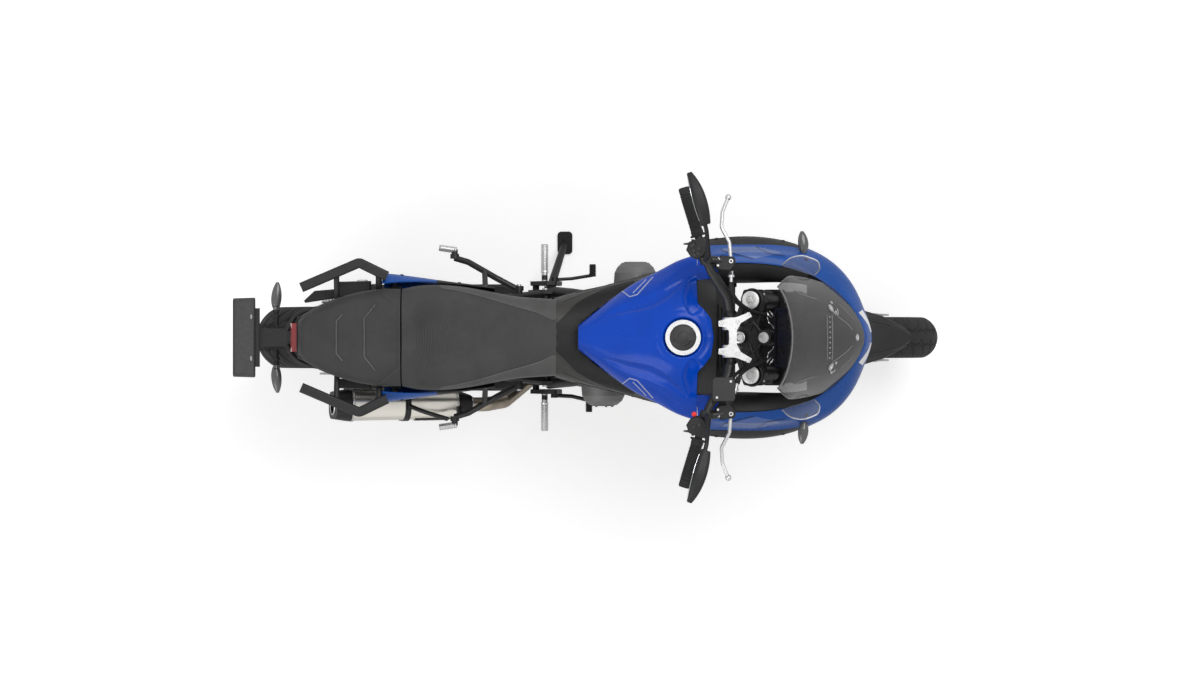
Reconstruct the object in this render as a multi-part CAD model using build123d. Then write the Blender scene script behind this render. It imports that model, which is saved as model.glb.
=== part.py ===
"""Adventure motorcycle, parked on its side stand.

The machine is laid out upright in its own bike frame (millimetres): X forward, Y to the rider's left,
Z up, with X = 0 half way between the axles and Z = 0 at the bottom of both tyres. Once every piece
is made, the whole machine is leaned over onto its side stand, set down on Z = 0 and moved so that the
origin is the bottom centre of its box.
"""

from build123d import *
from math import acos, asin, atan2, cos, degrees, hypot, pi, radians, sin, sqrt, tan
import os

# ---------------------------------------------------------------- driving dimensions, mm and degrees
WHEELBASE = 1422.0
RAKE = 23.8
TRAIL = 95.7
LEAN = 10.0  # how far the parked machine leans to its left

FRONT_TYRE_R, FRONT_TYRE_W, FRONT_CROWN_R = 300.0, 120.0, 64.0
REAR_TYRE_R, REAR_TYRE_W, REAR_CROWN_R = 315.0, 180.0, 96.0
BEAD_R = 216.0
TYRE_WALL = 10.0
RIM_FRONT_W, RIM_REAR_W = 89.0, 140.0
RIM_WALL = 6.0
FLANGE_H = 14.0  # of the rim's lip beside the tyre's bead
SPOKE_PAIRS = 5
RUN_GAP = 0.3  # between a piece and the one it seats against without touching

FRONT_DISC_R, REAR_DISC_R, DISC_T = 155.0, 128.0, 5.0
FORK_Y = 104.0
FORK_TUBE_R, FORK_SLIDER_R = 27.0, 23.0
FORK_TOP = 722.0  # along the fork, from the axle
YOKE_LOW, YOKE_LOW_T = 520.0, 32.0
YOKE_TOP, YOKE_TOP_T = 684.0, 26.0
AXLE_R, AXLE_BORE_R = 12.5, 8.5

PIVOT = (-150.0, 410.0)  # swingarm pivot, X and Z
PIVOT_R = 24.0
ARM_IN, ARM_OUT = 126.0, 158.0
CHAIN_Y, CHAIN_W = 112.0, 18.0
CHAIN_PITCH, TEETH_FRONT, TEETH_REAR = 15.875, 16, 46
GEARBOX = (-85.0, 410.0)  # output shaft, X and Z
LINK_HALF_H = 8.0

SEAT_LOW_Z = 835.0
CAP_X, CAP_R = 230.0, 49.0
BAR_R, BAR_END_R, GRIP_R = 14.3, 11.0, 16.5

FRONT_X, REAR_X = WHEELBASE / 2, -WHEELBASE / 2
FRONT_AXLE = Vector(FRONT_X, 0, FRONT_TYRE_R)
REAR_AXLE = Vector(REAR_X, 0, REAR_TYRE_R)
FORK_OFFSET = FRONT_TYRE_R * sin(radians(RAKE)) - TRAIL * cos(radians(RAKE))

# The steering frame: z up the fork, x forward, y left, with its origin on the steering axis beside the axle.
STEER_Z = Vector(-sin(radians(RAKE)), 0, cos(radians(RAKE)))
STEER_X = Vector(cos(radians(RAKE)), 0, sin(radians(RAKE)))
STEER_ORIGIN = FRONT_AXLE - STEER_X * FORK_OFFSET
STEER = Plane(origin=STEER_ORIGIN, x_dir=STEER_X, z_dir=STEER_Z)


# ---------------------------------------------------------------- helpers
def rod(start, end, radius, bore=0.0):
    """Round bar between two points, or a pipe where it has a bore."""
    start, end = Vector(start), Vector(end)
    plane = Plane(origin=start, z_dir=end - start)
    bar = Solid.make_cylinder(radius, (end - start).length, plane)
    return bar - Solid.make_cylinder(bore, (end - start).length, plane) if bore else bar


def join(*shapes):
    """Several shapes as one part, fused where they meet."""
    return Part() + [solid for shape in shapes for solid in shape.solids()]


def cut(shape, *tools):
    """A shape with every tool taken out of it."""
    return join(shape) - [solid for tool in tools for solid in tool.solids()]


def cone(start, end, radius_start, radius_end):
    """Tapered round bar between two points."""
    start, end = Vector(start), Vector(end)
    return Solid.make_cone(radius_start, radius_end, (end - start).length, Plane(origin=start, z_dir=end - start))


def pipe(points, radius, bend):
    """Round bar swept along straight runs joined by arcs."""
    path = FilletPolyline(*points, radius=bend)
    return sweep(Plane(origin=path @ 0, z_dir=path % 0) * Circle(radius), path=path)


def side_plate(outline, y_low, y_high, corner=0.0):
    """Plate with an outline in X and Z, from y_low to y_high, its upright corners rounded."""
    face = make_face(Polyline(*outline, close=True))
    if corner:
        face = fillet(face.vertices(), corner)
    plane = Plane(origin=(0, y_high, 0), x_dir=(1, 0, 0), z_dir=(0, -1, 0))
    return extrude(plane * face, amount=y_high - y_low)


def wheel_revolve(centre, profile):
    """Solid of revolution about a wheel's axle: the profile's points are (y, radius)."""
    plane = Plane(origin=centre, x_dir=(0, 1, 0), z_dir=(1, 0, 0))
    return revolve(plane * profile, axis=Axis(centre, (0, 1, 0)))


def both_sides(shape):
    """The piece and its mirror image across the machine's centre plane, as one node."""
    return Compound([*shape.solids(), *mirror(shape, about=Plane.XZ).solids()])


def normals_2d(points):
    """Unit normals of a chain of 2D points, to the left of its direction."""
    out = []
    for i in range(len(points)):
        before, after = points[max(i - 1, 0)], points[min(i + 1, len(points) - 1)]
        du, dv = after[0] - before[0], after[1] - before[1]
        length = hypot(du, dv)
        out.append((-dv / length, du / length))
    return out


def strip(points, thickness, place):
    """Closed wire round a thin curved strip: points are its outer line, place puts (u, v) in space."""
    inner = [(u + nu * thickness, v + nv * thickness) for (u, v), (nu, nv) in zip(points, normals_2d(points))]
    outer_3d = [place(u, v) for u, v in points]
    inner_3d = [place(u, v) for u, v in reversed(inner)]
    edges = [Spline(*outer_3d), Line(outer_3d[-1], inner_3d[0]), Spline(*inner_3d), Line(inner_3d[-1], outer_3d[0])]
    return Wire([edge.edges()[0] for edge in edges])


def shell_along_x(stations, thickness):
    """Curved panel through thin strips at several X: each station is (x, outer line of (y, z))."""
    wires = [strip(line, thickness, lambda y, z, x=x: (x, y, z)) for x, line in stations]
    return Solid.make_loft(wires)


def shell_along_z(stations, thickness):
    """Curved panel through thin strips at several Z: each station is (z, outer line of (x, y))."""
    wires = [strip(line, thickness, lambda x, y, z=z: (x, y, z)) for z, line in stations]
    return Solid.make_loft(wires)


def crowned(x, line):
    """Closed wire at one X: a smooth line of (y, z) over the top, closed by a flat bottom."""
    top = Spline(*[(x, y, z) for y, z in line])
    return Wire([top.edges()[0], Line((x, *line[-1]), (x, *line[0])).edges()[0]])


def symmetric(half):
    """A line across the machine from its half, given from the centre plane outwards."""
    return [(-y, z) for y, z in reversed(half[1:])] + list(half)


# ---------------------------------------------------------------- wheels
def tyre(centre, radius, width, crown_r, rim_w):
    """Road tyre carcass: a round tread, sidewalls that lean in to the beads, and an open inside."""
    half, bead = width / 2, rim_w / 2 - RIM_WALL - 1
    edge = radius - crown_r + sqrt(crown_r**2 - (half - 4) ** 2)
    heel = BEAD_R + FLANGE_H
    inside = bead - TYRE_WALL

    def wall(side):
        return Bezier((side * (half - 4), edge), (side * (half + 4), edge - 14), (side * (half + 3), heel + 8), (side * bead, heel))

    def lining(side):
        return Bezier(
            (side * inside, BEAD_R), (side * (inside + 4), BEAD_R + 16), (side * (half - 8), heel + 10),
            (side * (half - 16), edge - 9),
        )

    tread = ThreePointArc((-half + 4, edge), (0, radius), (half - 4, edge))
    in_top = ThreePointArc((half - 16, edge - 9), (0, radius - TYRE_WALL), (-half + 16, edge - 9))
    heels = [Line((side * bead, heel), (side * bead, BEAD_R)) for side in (1, -1)]
    bases = [Line((side * bead, BEAD_R), (side * inside, BEAD_R)) for side in (1, -1)]
    chain = (tread, wall(1), heels[0], bases[0], lining(1), in_top, lining(-1), bases[1], heels[1], wall(-1))
    loop = Wire([e.edges()[0] for e in chain])
    return wheel_revolve(centre, Face(loop))


def rim(centre, rim_w, hub_half, hub_r, bore_r):
    """Cast wheel: a drop-centre rim on five pairs of slim spokes round a hub."""
    half = rim_w / 2
    seat = BEAD_R - RUN_GAP
    outline = [
        (-half, seat + FLANGE_H), (-half + RIM_WALL - RUN_GAP, seat + FLANGE_H), (-half + RIM_WALL - RUN_GAP, seat),
        (-half + 24, seat), (-half + 34, seat - 18), (half - 34, seat - 18), (half - 24, seat),
        (half - RIM_WALL + RUN_GAP, seat), (half - RIM_WALL + RUN_GAP, seat + FLANGE_H), (half, seat + FLANGE_H),
        (half, seat - 6), (half - 22, seat - 10), (half - 32, seat - 26), (-half + 32, seat - 26),
        (-half + 22, seat - 10), (-half, seat - 6),
    ]
    barrel = wheel_revolve(centre, make_face(Polyline(*outline, close=True)))
    hub = rod(centre + Vector(0, -hub_half, 0), centre + Vector(0, hub_half, 0), hub_r)
    spokes = []
    for pair in range(SPOKE_PAIRS):
        for side in (-1, 1):
            angle = 360 / SPOKE_PAIRS * pair + side * 11
            root = Plane(origin=centre, x_dir=(0, 1, 0), z_dir=(0, 0, 1)) * Pos(0, side * 2, hub_r - 4)
            tip = Plane(origin=centre, x_dir=(0, 1, 0), z_dir=(0, 0, 1)) * Pos(0, side * -4, seat - 22)
            spoke = loft([root * RectangleRounded(44, 16, 5), tip * RectangleRounded(34, 13, 4)])
            spokes.append(spoke.rotate(Axis(centre, (0, 1, 0)), angle))
    bore = rod(centre + Vector(0, -hub_half - 1, 0), centre + Vector(0, hub_half + 1, 0), bore_r)
    star = cut(join(hub, *spokes), bore)
    return join(star, barrel)


REACH_Y = Vector(0, 2, 0)  # how far a drill runs past both faces


def disc(centre, y, radius, inner, hub_r, holes):
    """Brake disc with a wavy ring of holes, carried to the hub by a flat carrier."""
    low, high = Vector(0, y - DISC_T / 2, 0), Vector(0, y + DISC_T / 2, 0)
    plate = rod(centre + low, centre + high, radius, inner)
    drill = []
    for i in range(holes):
        angle = 2 * pi * i / holes
        for ring, shift in ((radius - 9, 0.0), (inner + 11, pi / holes)):
            spot = Vector(ring * cos(angle + shift), 0, ring * sin(angle + shift))
            drill.append(rod(centre + low + spot - REACH_Y, centre + high + spot + REACH_Y, 3.5))
    carrier = rod(centre + low, centre + high, inner + 0.01, hub_r)
    for i in range(6):
        angle = 2 * pi * (i + 0.5) / 6
        spot = Vector((inner + hub_r) / 2 * cos(angle), 0, (inner + hub_r) / 2 * sin(angle))
        drill.append(rod(centre + low + spot - REACH_Y, centre + high + spot + REACH_Y, (inner - hub_r) * 0.32))
    return cut(join(plate, carrier), *drill)


FRONT_HUB_HALF, REAR_HUB_HALF = 62.0, 78.0
FRONT_DISC_Y, REAR_DISC_Y = 68.0, -108.0
HUB_R = 40.0


def front_tyre():
    return tyre(FRONT_AXLE, FRONT_TYRE_R, FRONT_TYRE_W, FRONT_CROWN_R, RIM_FRONT_W)


def rear_tyre():
    return tyre(REAR_AXLE, REAR_TYRE_R, REAR_TYRE_W, REAR_CROWN_R, RIM_REAR_W)


def front_rim():
    return rim(FRONT_AXLE, RIM_FRONT_W, FRONT_HUB_HALF, HUB_R, AXLE_R + 0.05)


def rear_rim():
    return rim(REAR_AXLE, RIM_REAR_W, REAR_HUB_HALF, HUB_R + 6, AXLE_R + 0.05)


def front_discs():
    left = disc(FRONT_AXLE, FRONT_DISC_Y, FRONT_DISC_R, 118.0, 30.0, 24)
    boss = rod(
        FRONT_AXLE + Vector(0, FRONT_HUB_HALF, 0), FRONT_AXLE + Vector(0, FRONT_DISC_Y - DISC_T / 2, 0), 46.0, 20.0
    )
    return both_sides(join(left, boss))


def rear_disc():
    plate = disc(REAR_AXLE, REAR_DISC_Y, REAR_DISC_R, 88.0, 30.0, 20)
    boss = rod(
        REAR_AXLE + Vector(0, -REAR_HUB_HALF, 0), REAR_AXLE + Vector(0, REAR_DISC_Y + DISC_T / 2, 0), 46.0, 20.0
    )
    return join(plate, boss)


def pitch_radius(teeth):
    return CHAIN_PITCH / (2 * sin(pi / teeth))


def rear_sprocket():
    """Chain wheel with short teeth that turn clear of the chain's rollers, on its cush-drive carrier."""
    tip = pitch_radius(TEETH_REAR) - 6.5
    thickness = 6.0
    low = REAR_AXLE + Vector(0, CHAIN_Y - thickness / 2, 0)
    high = REAR_AXLE + Vector(0, CHAIN_Y + thickness / 2, 0)
    holes = []
    for i in range(6):
        angle = 2 * pi * i / 6
        spot = Vector(72 * cos(angle), 0, 72 * sin(angle))
        holes.append(rod(low + spot - REACH_Y, high + spot + REACH_Y, 20.0))
    carrier = rod(REAR_AXLE + Vector(0, REAR_HUB_HALF, 0), low, 48.0, 20.0)
    return join(cut(rod(low, high, tip, 20.0), *holes), carrier)


# ---------------------------------------------------------------- fork and steering
def steer_point(x, y, z):
    return STEER.from_local_coords((x, y, z))


def steer_rod(y, z_low, z_high, radius, x=None, bore=0.0):
    x = FORK_OFFSET if x is None else x
    return rod(steer_point(x, y, z_low), steer_point(x, y, z_high), radius, bore)


SLIDER_TOP = 330.0
AXLE_LUG_R = 27.0
FORK_LUG_T = 34.0
CALIPER_HALF_W = 20.0


def fork_tubes():
    """Upside-down fork's outer tubes, from the wipers up to the caps."""
    collar = steer_rod(FORK_Y, SLIDER_TOP, SLIDER_TOP + 24, FORK_TUBE_R + 3)
    return both_sides(join(steer_rod(FORK_Y, SLIDER_TOP, FORK_TOP, FORK_TUBE_R), collar))


def fork_sliders():
    """Chromed inner tubes and the cast feet that hold the axle and the calipers."""
    slider = steer_rod(FORK_Y, 20.0, SLIDER_TOP, FORK_SLIDER_R)
    foot = steer_rod(FORK_Y, -8.0, 92.0, FORK_SLIDER_R + 5)
    lug = rod(
        steer_point(FORK_OFFSET, FORK_Y - FORK_LUG_T / 2, 0), steer_point(FORK_OFFSET, FORK_Y + FORK_LUG_T / 2, 0), AXLE_LUG_R
    )
    ear = extrude(
        Plane(origin=steer_point(FORK_OFFSET - 38, FRONT_DISC_Y + CALIPER_HALF_W + RUN_GAP, 92), x_dir=STEER_X, z_dir=(0, 1, 0))
        * RectangleRounded(46, 84, 10),
        amount=14,
    )
    hole = rod(steer_point(FORK_OFFSET, FORK_Y - 40, 0), steer_point(FORK_OFFSET, FORK_Y + 40, 0), AXLE_R)
    return both_sides(cut(join(slider, foot, lug, ear), hole))


def front_axle():
    reach = FORK_Y + FORK_LUG_T / 2
    tube = rod(FRONT_AXLE + Vector(0, -reach, 0), FRONT_AXLE + Vector(0, reach, 0), AXLE_R, AXLE_BORE_R)
    return tube


def yoke(z, thickness, reach):
    """One triple clamp: a waisted plate round the stem and both fork tubes."""
    plane = STEER.offset(z)
    outline = make_face(
        Polyline(
            (-30, 0), (-24, 34), (FORK_OFFSET - 36, FORK_Y - 6), (FORK_OFFSET - 26, FORK_Y + reach),
            (FORK_OFFSET + 26, FORK_Y + reach), (FORK_OFFSET + 38, FORK_Y - 6), (FORK_OFFSET + 20, 42),
            (FORK_OFFSET + 16, 0), (FORK_OFFSET + 20, -42), (FORK_OFFSET + 38, -FORK_Y + 6),
            (FORK_OFFSET + 26, -FORK_Y - reach), (FORK_OFFSET - 26, -FORK_Y - reach),
            (FORK_OFFSET - 36, -FORK_Y + 6), (-24, -34), close=True,
        )
    )
    outline = fillet(outline.vertices(), 9)
    plate = extrude(plane * outline, amount=thickness)
    return cut(plate, *[steer_rod(side * FORK_Y, z - 1, z + thickness + 1, FORK_TUBE_R) for side in (-1, 1)])


def fork_yokes():
    """Both triple clamps on the steering stem, with the stem's nut on top."""
    stem = steer_rod(0, YOKE_LOW, YOKE_TOP, 14.0, x=0)
    races = [steer_rod(0, z, z + 16, HEAD_BORE_R - RUN_GAP, x=0) for z in (YOKE_LOW + YOKE_LOW_T, YOKE_TOP - 16)]
    nut = extrude(STEER.offset(YOKE_TOP + YOKE_TOP_T) * RegularPolygon(18, 6), amount=11)
    bore = steer_rod(0, YOKE_TOP, YOKE_TOP + 60, 9, x=0)
    clamps = yoke(YOKE_LOW, YOKE_LOW_T, 32.0), yoke(YOKE_TOP, YOKE_TOP_T, 30.0)
    return cut(join(stem, *races, nut, *clamps), bore)


BAR_LEFT = [
    Vector(362, 0, 1030), Vector(362, 62, 1030), Vector(352, 112, 1046), Vector(300, 190, 1074),
    Vector(282, 238, 1080), Vector(234, 397, 1074),
]
GRIP_FROM, GRIP_LENGTH = 0.17, 118.0


def bar_line():
    """The left half of the bar's centre line, from its middle to its end."""
    return FilletPolyline(*BAR_LEFT, radius=[46, 46, 60, 46])


def bar_direction():
    return (BAR_LEFT[-1] - BAR_LEFT[-2]).normalized()


def handlebar():
    mirrored = [Vector(p.X, -p.Y, p.Z) for p in reversed(BAR_LEFT[1:])]
    points = mirrored + BAR_LEFT[1:]
    bend = [46, 60, 46, 46, 46, 46, 60, 46]
    path = FilletPolyline(*points, radius=bend[: len(points) - 2])
    return sweep(Plane(origin=path @ 0, z_dir=path % 0) * Circle(BAR_END_R), path=path)


def grips():
    """Rubber grips with a flange inboard, each a sleeve on the bar's straight end."""
    end, way = BAR_LEFT[-1], bar_direction()
    inner = end - way * (GRIP_LENGTH + 6)
    grip = join(rod(inner, end - way * 6, GRIP_R, BAR_END_R), rod(inner, inner + way * 5, GRIP_R + 6, BAR_END_R))
    weight = rod(end + way * RUN_GAP, end + way * 22, GRIP_R - 1)
    return both_sides(Compound([*grip.solids(), *weight.solids()]))



def bar_at(y, side):
    """Centre point and outward direction on the bar at a distance from the machine's centre plane."""
    inner, outer = (BAR_LEFT[-2], BAR_LEFT[-1]) if y > BAR_LEFT[-2].Y else (BAR_LEFT[-3], BAR_LEFT[-2])
    point = inner + (outer - inner) * ((y - inner.Y) / (outer.Y - inner.Y))
    way = (outer - inner).normalized()
    return Vector(point.X, side * point.Y, point.Z), Vector(way.X, side * way.Y, way.Z)


LEVER_R, LEVER_BALL_R = 5.0, 8.5
LEVER_PIVOT = Vector(360, 210, 1062)
LEVER_EYE_H, LEVER_EYE_R = 5.3, 9.0
PERCH_Y = 214.0
PERCH_BOSS = 24.0  # from the bar's centre up to the mirror's foot


def hand_levers():
    """Clutch and brake levers, each a slim dog-leg bar with an eye at its pivot and a ball at its end."""
    line = [LEVER_PIVOT, Vector(356, 262, 1062), Vector(334, 304, 1061), Vector(337, 346, 1060), Vector(353, 386, 1060)]
    eye = rod(LEVER_PIVOT - Vector(0, 0, LEVER_EYE_H), LEVER_PIVOT + Vector(0, 0, LEVER_EYE_H), LEVER_EYE_R)
    return both_sides(join(eye, pipe(line, LEVER_R, 18), Pos(*line[-1]) * Sphere(LEVER_BALL_R)))


def lever_perches():
    """Clamps that carry the levers and mirrors: a cable perch left, a master cylinder with its reservoir right."""
    out = []
    for side in (1, -1):
        middle, way = bar_at(PERCH_Y, side)
        pivot = Vector(LEVER_PIVOT.X, side * LEVER_PIVOT.Y, LEVER_PIVOT.Z)
        clamp = rod(middle - way * 10, middle + way * 10, BAR_END_R + 7)
        boss = rod(middle, middle + Vector(0, 0, PERCH_BOSS), 9)
        arm = rod(middle + Vector(12, 0, -4), pivot - Vector(8, 0, 0), 11)
        eye = rod(pivot - Vector(0, 0, 11), pivot + Vector(0, 0, 11), 13)
        fork = Pos(pivot.X + 8, pivot.Y + side * 6, pivot.Z) * Box(36, 34, 2 * LEVER_EYE_H)
        extra = [rod((359, side * 206, 1062), (359, side * 168, 1063), 7)]
        if side < 0:
            extra = [rod((352, -202, 1064), (352, -150, 1068), 11), rod((345, -152, 1068), (340, -150, 1082), 8)]
            tank = Pos(338, -142, 1093) * Box(58, 66, 30)
            extra.append(fillet(tank.edges().filter_by(Axis.Z), 9))
        bore = rod(middle - way * 60, middle + way * 60, BAR_END_R)
        out += cut(join(clamp, boss, arm, eye, *extra), fork, bore).solids()
    return Compound(out)


def switch_pods():
    """Switchgear between grip and perch on each side, with its buttons on the rider's face."""
    out = []
    for side in (1, -1):
        centre, way = bar_at(258.0, side)
        plane = Plane(origin=centre, x_dir=(0, 0, 1), z_dir=way)
        body = extrude(plane * RectangleRounded(46, 40, 9), amount=14, both=True)
        rear = centre + Vector(-20, 0, 4)
        keys = [rod(rear + Vector(2, y, z), rear + Vector(-5, y, z), 4.5) for y in (-7, 7) for z in (-8, 8)]
        bore = rod(centre - way * 30, centre + way * 30, BAR_END_R)
        out += cut(join(body, *keys), bore).solids()
    return Compound(out)


def mirrors():
    """Two mirrors: a stem from the perch's boss, and a deep housing that tapers outwards."""
    out = []
    for side in (1, -1):
        middle, _ = bar_at(PERCH_Y, side)
        foot = middle + Vector(0, 0, PERCH_BOSS)
        bends = [(296, 226, 1150), (288, 288, 1214), (280, 320, 1222)]
        stem = pipe([foot, foot + Vector(0, 0, 22), *[(x, side * y, z) for x, y, z in bends]], 6, 14)
        sections = []
        for y, x, wide, tall in ((304, 286, 24, 56), (345, 275, 36, 86), (400, 258, 32, 88), (444, 240, 12, 52)):
            plane = Plane(origin=(x, side * y, 1236), x_dir=(1, 0, 0), z_dir=(-0.35, side, 0))
            sections.append(plane * RectangleRounded(wide, tall, min(wide, tall) * 0.32))
        out += join(stem, loft(sections)).solids()
    return Compound(out)


def bar_clamp():
    """Risers on the top yoke and the bright one-piece bridge that holds the bar."""
    parts = []
    for side in (-1, 1):
        foot = steer_point(-6, side * 38, YOKE_TOP + YOKE_TOP_T)
        parts.append(rod(foot, Vector(362, side * 38, 1030), 15))
        parts.append(rod((362, side * 38 - 17, 1030), (362, side * 38 + 17, 1030), 24))
    half = [(327, 31), (326, 45), (350, 52), (376, 56), (412, 70), (418, 58), (388, 40), (377, 20), (377, 0)]
    inner = [(356, 0), (355, 18), (347, 28)]
    outline = half + [(x, -y) for x, y in reversed(half[:-1])] + [(x, -y) for x, y in reversed(inner[1:])] + inner
    bridge = extrude(Plane.XY.offset(1046) * make_face(Polyline(*outline, close=True)), amount=11)
    under = extrude(STEER.offset(YOKE_TOP - 20) * Rectangle(240, 240), amount=YOKE_TOP_T + 20)
    return cut(join(*parts, bridge), rod((362, -70, 1030), (362, 70, 1030), BAR_END_R), under)


def front_mudguard():
    """Front mudguard that hugs the tyre, with deep sides between the fork legs."""
    gap, sheet = 12.0, 3.0
    inner = FRONT_TYRE_R + gap
    profile = [(-72, inner - 66), (-70, inner - 22), (-48, inner + 1), (0, inner + 9), (48, inner + 1), (70, inner - 22),
               (72, inner - 66)]
    line = [(y, r) for y, r in profile]
    wire = strip(line, sheet, lambda u, v: (u, v, 0))
    plane = Plane(origin=FRONT_AXLE, x_dir=(0, 1, 0), z_dir=(1, 0, 0))
    axle = Axis(FRONT_AXLE, (0, 1, 0))
    guard = revolve(plane * Face(wire), axis=axle, revolution_arc=MUDGUARD_BACK + MUDGUARD_FRONT)
    ears = []
    for side in (-1, 1):
        for z in (258, 284):
            ears.append(rod(steer_point(FORK_OFFSET, side * 70, z), steer_point(FORK_OFFSET, side * FORK_Y, z), 9))
    legs = [steer_rod(side * FORK_Y, 200, SLIDER_TOP, FORK_SLIDER_R + RUN_GAP) for side in (-1, 1)]
    return cut(join(guard.rotate(axle, -MUDGUARD_BACK), *ears), *legs)


MUDGUARD_BACK, MUDGUARD_FRONT = 75.0, 38.0  # how far the guard reaches either side of the wheel's top, degrees


def front_calipers():
    """Radial four-piston calipers, open over the disc, behind each fork leg."""
    centre = steer_point(FORK_OFFSET - 74, FRONT_DISC_Y, 122)
    plane = Plane(origin=centre, x_dir=STEER_X, z_dir=(0, 1, 0))
    body = extrude(plane * RectangleRounded(58, 96, 14), amount=CALIPER_HALF_W, both=True)
    slot = rod(FRONT_AXLE + Vector(0, FRONT_DISC_Y - 8, 0), FRONT_AXLE + Vector(0, FRONT_DISC_Y + 8, 0), FRONT_DISC_R + 6)
    return both_sides(cut(body, slot))


# ---------------------------------------------------------------- frame and running gear
SPAR_R, RAIL_R, BRACE_R = 17.0, 12.0, 11.0
PLATE_IN, PLATE_OUT = 128.0, 140.0  # the pivot plates, across the machine
HEAD_R, HEAD_BORE_R = 30.0, 22.0
TANK_FLOOR_Z = 838.0
SHELL_T = 3.0  # of the moulded covers
ENGINE_MOUNT = Vector(165, 142, 620)
ENGINE_BAR, TRAY_BAR = Vector(-160, 0, 505), Vector(-430, 0, 748)  # cross tubes that carry engine and tray
HANGER_LUG, BRACE_LUG = Vector(-236, 136, 573), Vector(-330, 126, 661)  # where the passenger's hangers bolt on
SHOCK_LOW, SHOCK_HIGH = Vector(-300, 0, 452), Vector(-214, 0, 664)
SHOCK_EYE_R, SHOCK_EYE_W, SHOCK_PIN_R = 15.0, 14.0, 6.0


def across(point, half, radius, bore=0.0):
    """Bar that lies across the machine, centred on a point."""
    return rod(point - Vector(0, half, 0), point + Vector(0, half, 0), radius, bore)


def flip(point, side):
    """A point given for the left side, moved to the side asked for."""
    return Vector(point.X, side * point.Y, point.Z)


def plate_between(outline, side, y_in, y_out, corner):
    low, high = sorted((side * y_in, side * y_out))
    return side_plate(outline, low, high, corner)


def spar(side):
    """Main spar from beside the headstock, round the airbox, down to the pivot plate."""
    points = [
        steer_point(-12, side * 16, 612), steer_point(-112, side * 105, 618), Vector(60, side * 104, 700),
        Vector(-80, side * 126, 570), Vector(-150, side * 134, 490),
    ]
    return pipe(points, SPAR_R, 40)


def rail(side):
    """Seat rail from the spar back into the tail."""
    return pipe([Vector(-10, side * 104, 640), Vector(-200, side * 90, 690), Vector(-560, side * 97, 783)], RAIL_R, 60)


def clevis(centre, reach, thickness):
    """Two ears and their pin, which hold an eye of the shock between them."""
    ears = []
    for side in (-1, 1):
        inner = centre + Vector(0, side * (SHOCK_EYE_W / 2 + RUN_GAP), 0)
        outer = inner + Vector(0, side * 6, 0)
        ears.append(rod(inner, outer, SHOCK_EYE_R))
        ears.append(extrude(Plane(origin=inner, x_dir=reach, z_dir=(0, side, 0)) * Pos(thickness / 2, 0) * Rectangle(thickness, 2 * SHOCK_EYE_R - 4), amount=6))
    return [*ears, across(centre, SHOCK_EYE_W / 2 + RUN_GAP + 1, SHOCK_PIN_R)]


def frame():
    """Tubular frame: headstock, spars, pivot plates, seat rails and braces, with the lugs that carry the rest."""
    parts = [steer_rod(0, YOKE_LOW + YOKE_LOW_T + 2, YOKE_TOP - 2, HEAD_R, x=0)]
    for side in (-1, 1):
        parts += [spar(side), rail(side), rod((-150, side * 130, 500), (-420, side * 98, 744), BRACE_R)]
        for lug in (HANGER_LUG, BRACE_LUG):
            parts.append(rod(flip(lug - Vector(0, 22, 0), side), flip(lug, side), 11))
        plate = [(-212, 350), (-212, 440), (-178, 528), (-122, 528), (-100, 440), (-108, 350)]
        parts.append(plate_between(plate, side, PLATE_IN, PLATE_OUT, 14))
        mount = flip(ENGINE_MOUNT, side)
        parts.append(pipe([(96, side * 104, 712), (140, side * 152, 690), mount + Vector(0, side * 11, 0)], 9, 24))
        parts.append(rod(mount, mount + Vector(0, side * 16, 0), 15))
        parts.append(rod((230, side * 105, 765), (230, side * 105, TANK_FLOOR_Z - RUN_GAP), 9))
        parts.append(rod((372, side * 64, 822), (372, side * 64, RADIATOR_TOP), 6))
    parts += [across(ENGINE_BAR, 130, 13), across(TRAY_BAR, 92, 8)]
    parts.append(across(SHOCK_HIGH + Vector(0, 0, 30), 92, 9))
    parts += clevis(SHOCK_HIGH, (0, 0, 1), 26)
    parts.append(across(Vector(PIVOT[0], 0, PIVOT[1]), PLATE_OUT, 10))
    return cut(join(stand_bracket(), *parts), steer_rod(0, YOKE_LOW, YOKE_TOP + 10, HEAD_BORE_R, x=0))


def swingarm():
    """Two box arms, a cross beam with the shock's clevis, and the pivot tube, bored for the axle."""
    arms = []
    for side in (-1, 1):
        mid = (ARM_IN + ARM_OUT) / 2 * side
        width = ARM_OUT - ARM_IN
        stations = [
            (PIVOT[0], side * 106, PIVOT[1], 26, 50), (-205, side * 110, 402, 26, 52),
            (-285, mid, 388, width, 54), (-560, mid, 340, width, 62), (-690, mid, 318, width, 50),
        ]
        faces = [
            Plane(origin=(x, y, z), x_dir=(0, 1, 0), z_dir=(-1, 0, 0)) * RectangleRounded(w, h, 8)
            for x, y, z, w, h in stations
        ]
        tail = [(-670, 290), (-670, 344), (-752, 340), (-770, 318), (-752, 292)]
        arms += [loft(faces, ruled=True), plate_between(tail, side, ARM_IN, ARM_OUT, 8)]
    cross = side_plate([(-262, 366), (-262, 424), (-330, 416), (-352, 392), (-330, 362)], -ARM_IN - 4, ARM_IN + 4, 8)
    pivot = Vector(PIVOT[0], 0, PIVOT[1])
    solid = join(*arms, cross, across(pivot, 122, PIVOT_R), *clevis(SHOCK_LOW, (0, 0, -1), 34))
    return cut(solid, across(pivot, 130, 10 + RUN_GAP), across(REAR_AXLE, 200, AXLE_R))


def rear_axle():
    return across(REAR_AXLE, ARM_OUT + 8, AXLE_R, AXLE_BORE_R)


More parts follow.
